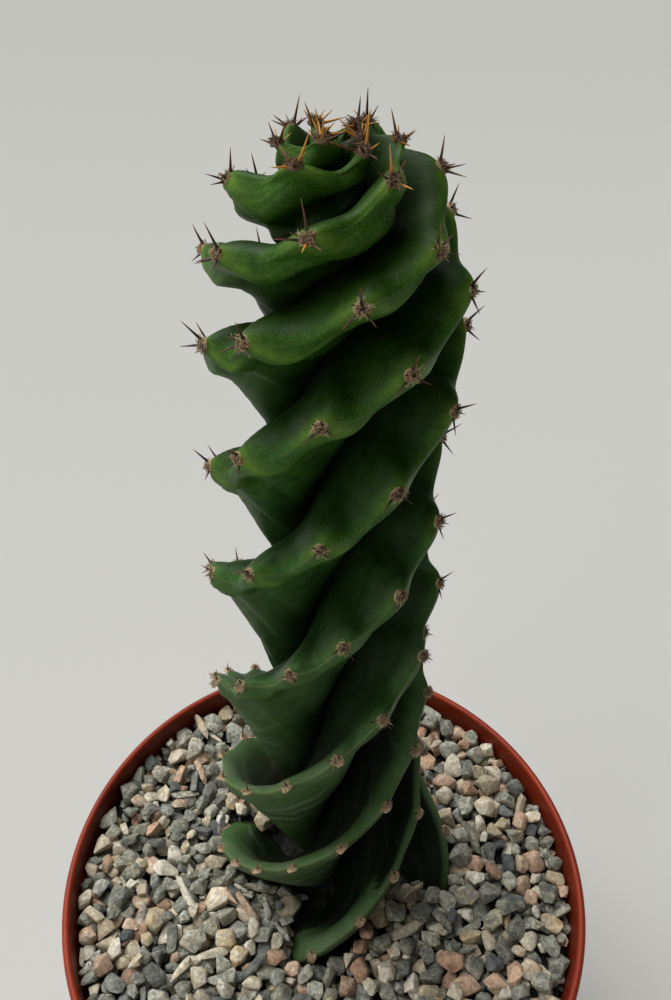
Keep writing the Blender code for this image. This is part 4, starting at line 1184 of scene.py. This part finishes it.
def packed_grit():
    """Small grit, painted nearly black as the shade under the stones: grey-brown grains of 1 to 2 mm
    with dark gaps.
    """
    material, tree, shader, place = new_material("packed_grit")
    grains = add_node(tree, "TexVoronoi", {"Vector": place, "Scale": 1 / (1.8 * MM)})
    # Painted shade: the grains are painted nearly black, darker still in their gaps
    tone = add_node(tree, "ValToRGB", {"Fac": grains[0]}, stops=((0.1, "#24231e"), (0.8, "#0e0d0b")))[0]
    bump = add_node(tree, "Bump", {"Height": grains[0], "Strength": 0.9, "Distance": 0.8 * MM},
                    invert=True)
    connect(tree, shader, {"Base Color": tone, "Roughness": 0.9, "Normal": bump})
    return material


gravel_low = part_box("gravel")[0].z
bed_section = [(0, BED_LEVEL)]
bed_radius = pot_inner_radius(BED_LEVEL) - BED_CLEARANCE
for ring in range(1, BED_RINGS + 1):
    bed_section.append((bed_radius * ring / BED_RINGS, BED_LEVEL))
bed_section += [(pot_inner_radius(gravel_low) - BED_CLEARANCE, gravel_low), (0, gravel_low)]
bed_mesh = turned_mesh("grit_bed", bed_section, BED_SIDES)
for vertex in bed_mesh.vertices:
    if vertex.co.z > BED_LEVEL - 0.0001:
        uneven = BED_CRUMBS[1] * noise.noise(vertex.co * BED_CRUMBS[0])
        vertex.co.z = float(bed_height(vertex.co.x, vertex.co.y)) + uneven
bed = add_piece("grit_bed", bed_mesh, packed_grit())
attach(bed, "root")
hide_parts("gravel")

# Stage: a wide matt pale grey table, a large soft light above and a little to the left, a weak
# wide one from the front left, and a room that is bright on the left and dim on the right.

FLOOR_REACH = 4.0
SKY_PLACE = (-0.45, 0.4, 1.0)       # direction that most of the light comes from
SKY_SPREAD = 55.0                   # degrees across, as from a large ceiling panel
SKY_POWER = 3.15
FILL_PLACE = (-0.8, -0.55, 0.42)    # a weak wide light from the front left
FILL_SPREAD = 45.0
FILL_POWER = 0.55
ROOM_LIGHT = (0.06, 0.6)            # what the room throws from the right, and from the left
ROOM_SEEN = 0.62                    # how bright its plain wall looks beyond the table


def matt_paper():
    """Seamless background paper: pale grey and quite matt, a little duller further back."""
    material, tree, shader, place = new_material("background_paper")
    far = add_node(tree, "SeparateXYZ", {"Vector": place})[1]
    reach = add_node(tree, "MapRange", {"Value": far, "From Min": -0.1, "From Max": 1.3})[0]
    tone = add_node(tree, "ValToRGB", {"Fac": reach}, stops=((0.0, "#c5c5c1"), (1.0, "#b7b7b3")))[0]
    connect(tree, shader, {"Base Color": tone, "Roughness": 0.95, "Specular IOR Level": 0.1})
    return material


floor_mesh = bpy.data.meshes.new("floor")
corners = [(x * FLOOR_REACH, y * FLOOR_REACH, 0) for x, y in ((-1, -1), (1, -1), (1, 1), (-1, 1))]
floor_mesh.from_pydata(corners, [], [(0, 1, 2, 3)])
floor = add_piece("floor", floor_mesh, matt_paper())

for name, place, spread, power in (("ceiling_panel", SKY_PLACE, SKY_SPREAD, SKY_POWER),
                                   ("window_fill", FILL_PLACE, FILL_SPREAD, FILL_POWER)):
    light = bpy.data.lights.new(name, "SUN")
    light.angle = math.radians(spread)
    light.energy = power
    light_object = bpy.data.objects.new(name, light)
    bpy.context.scene.collection.objects.link(light_object)
    light_object.rotation_euler = Vector(place).to_track_quat("Z", "Y").to_euler()

world = bpy.data.worlds.new("room")
bpy.context.scene.world = world
world.use_nodes = True
room = world.node_tree
way = add_node(room, "TexCoord", {})[0]
side = add_node(room, "VectorMath", {0: way, 1: (-0.95, 0.15, 0.0)}, operation="DOT_PRODUCT")[1]
glow = add_node(room, "MapRange", {"Value": side, "From Min": -0.35, "From Max": 0.95,
                                   "To Min": ROOM_LIGHT[0], "To Max": ROOM_LIGHT[1]})[0]
# Looked at directly, past the edge of the table, the room is one plain pale wall
looked_at = add_node(room, "LightPath", {})[0]
glow = add_node(room, "MapRange", {"Value": looked_at, "To Min": glow, "To Max": ROOM_SEEN})[0]
connect(room, room.nodes["Background"], {"Strength": glow, "Color": linear("#f1f0ec")})
# The colours here are meant to be seen as they are, without a film curve over them
bpy.context.scene.view_settings.view_transform = "Standard"
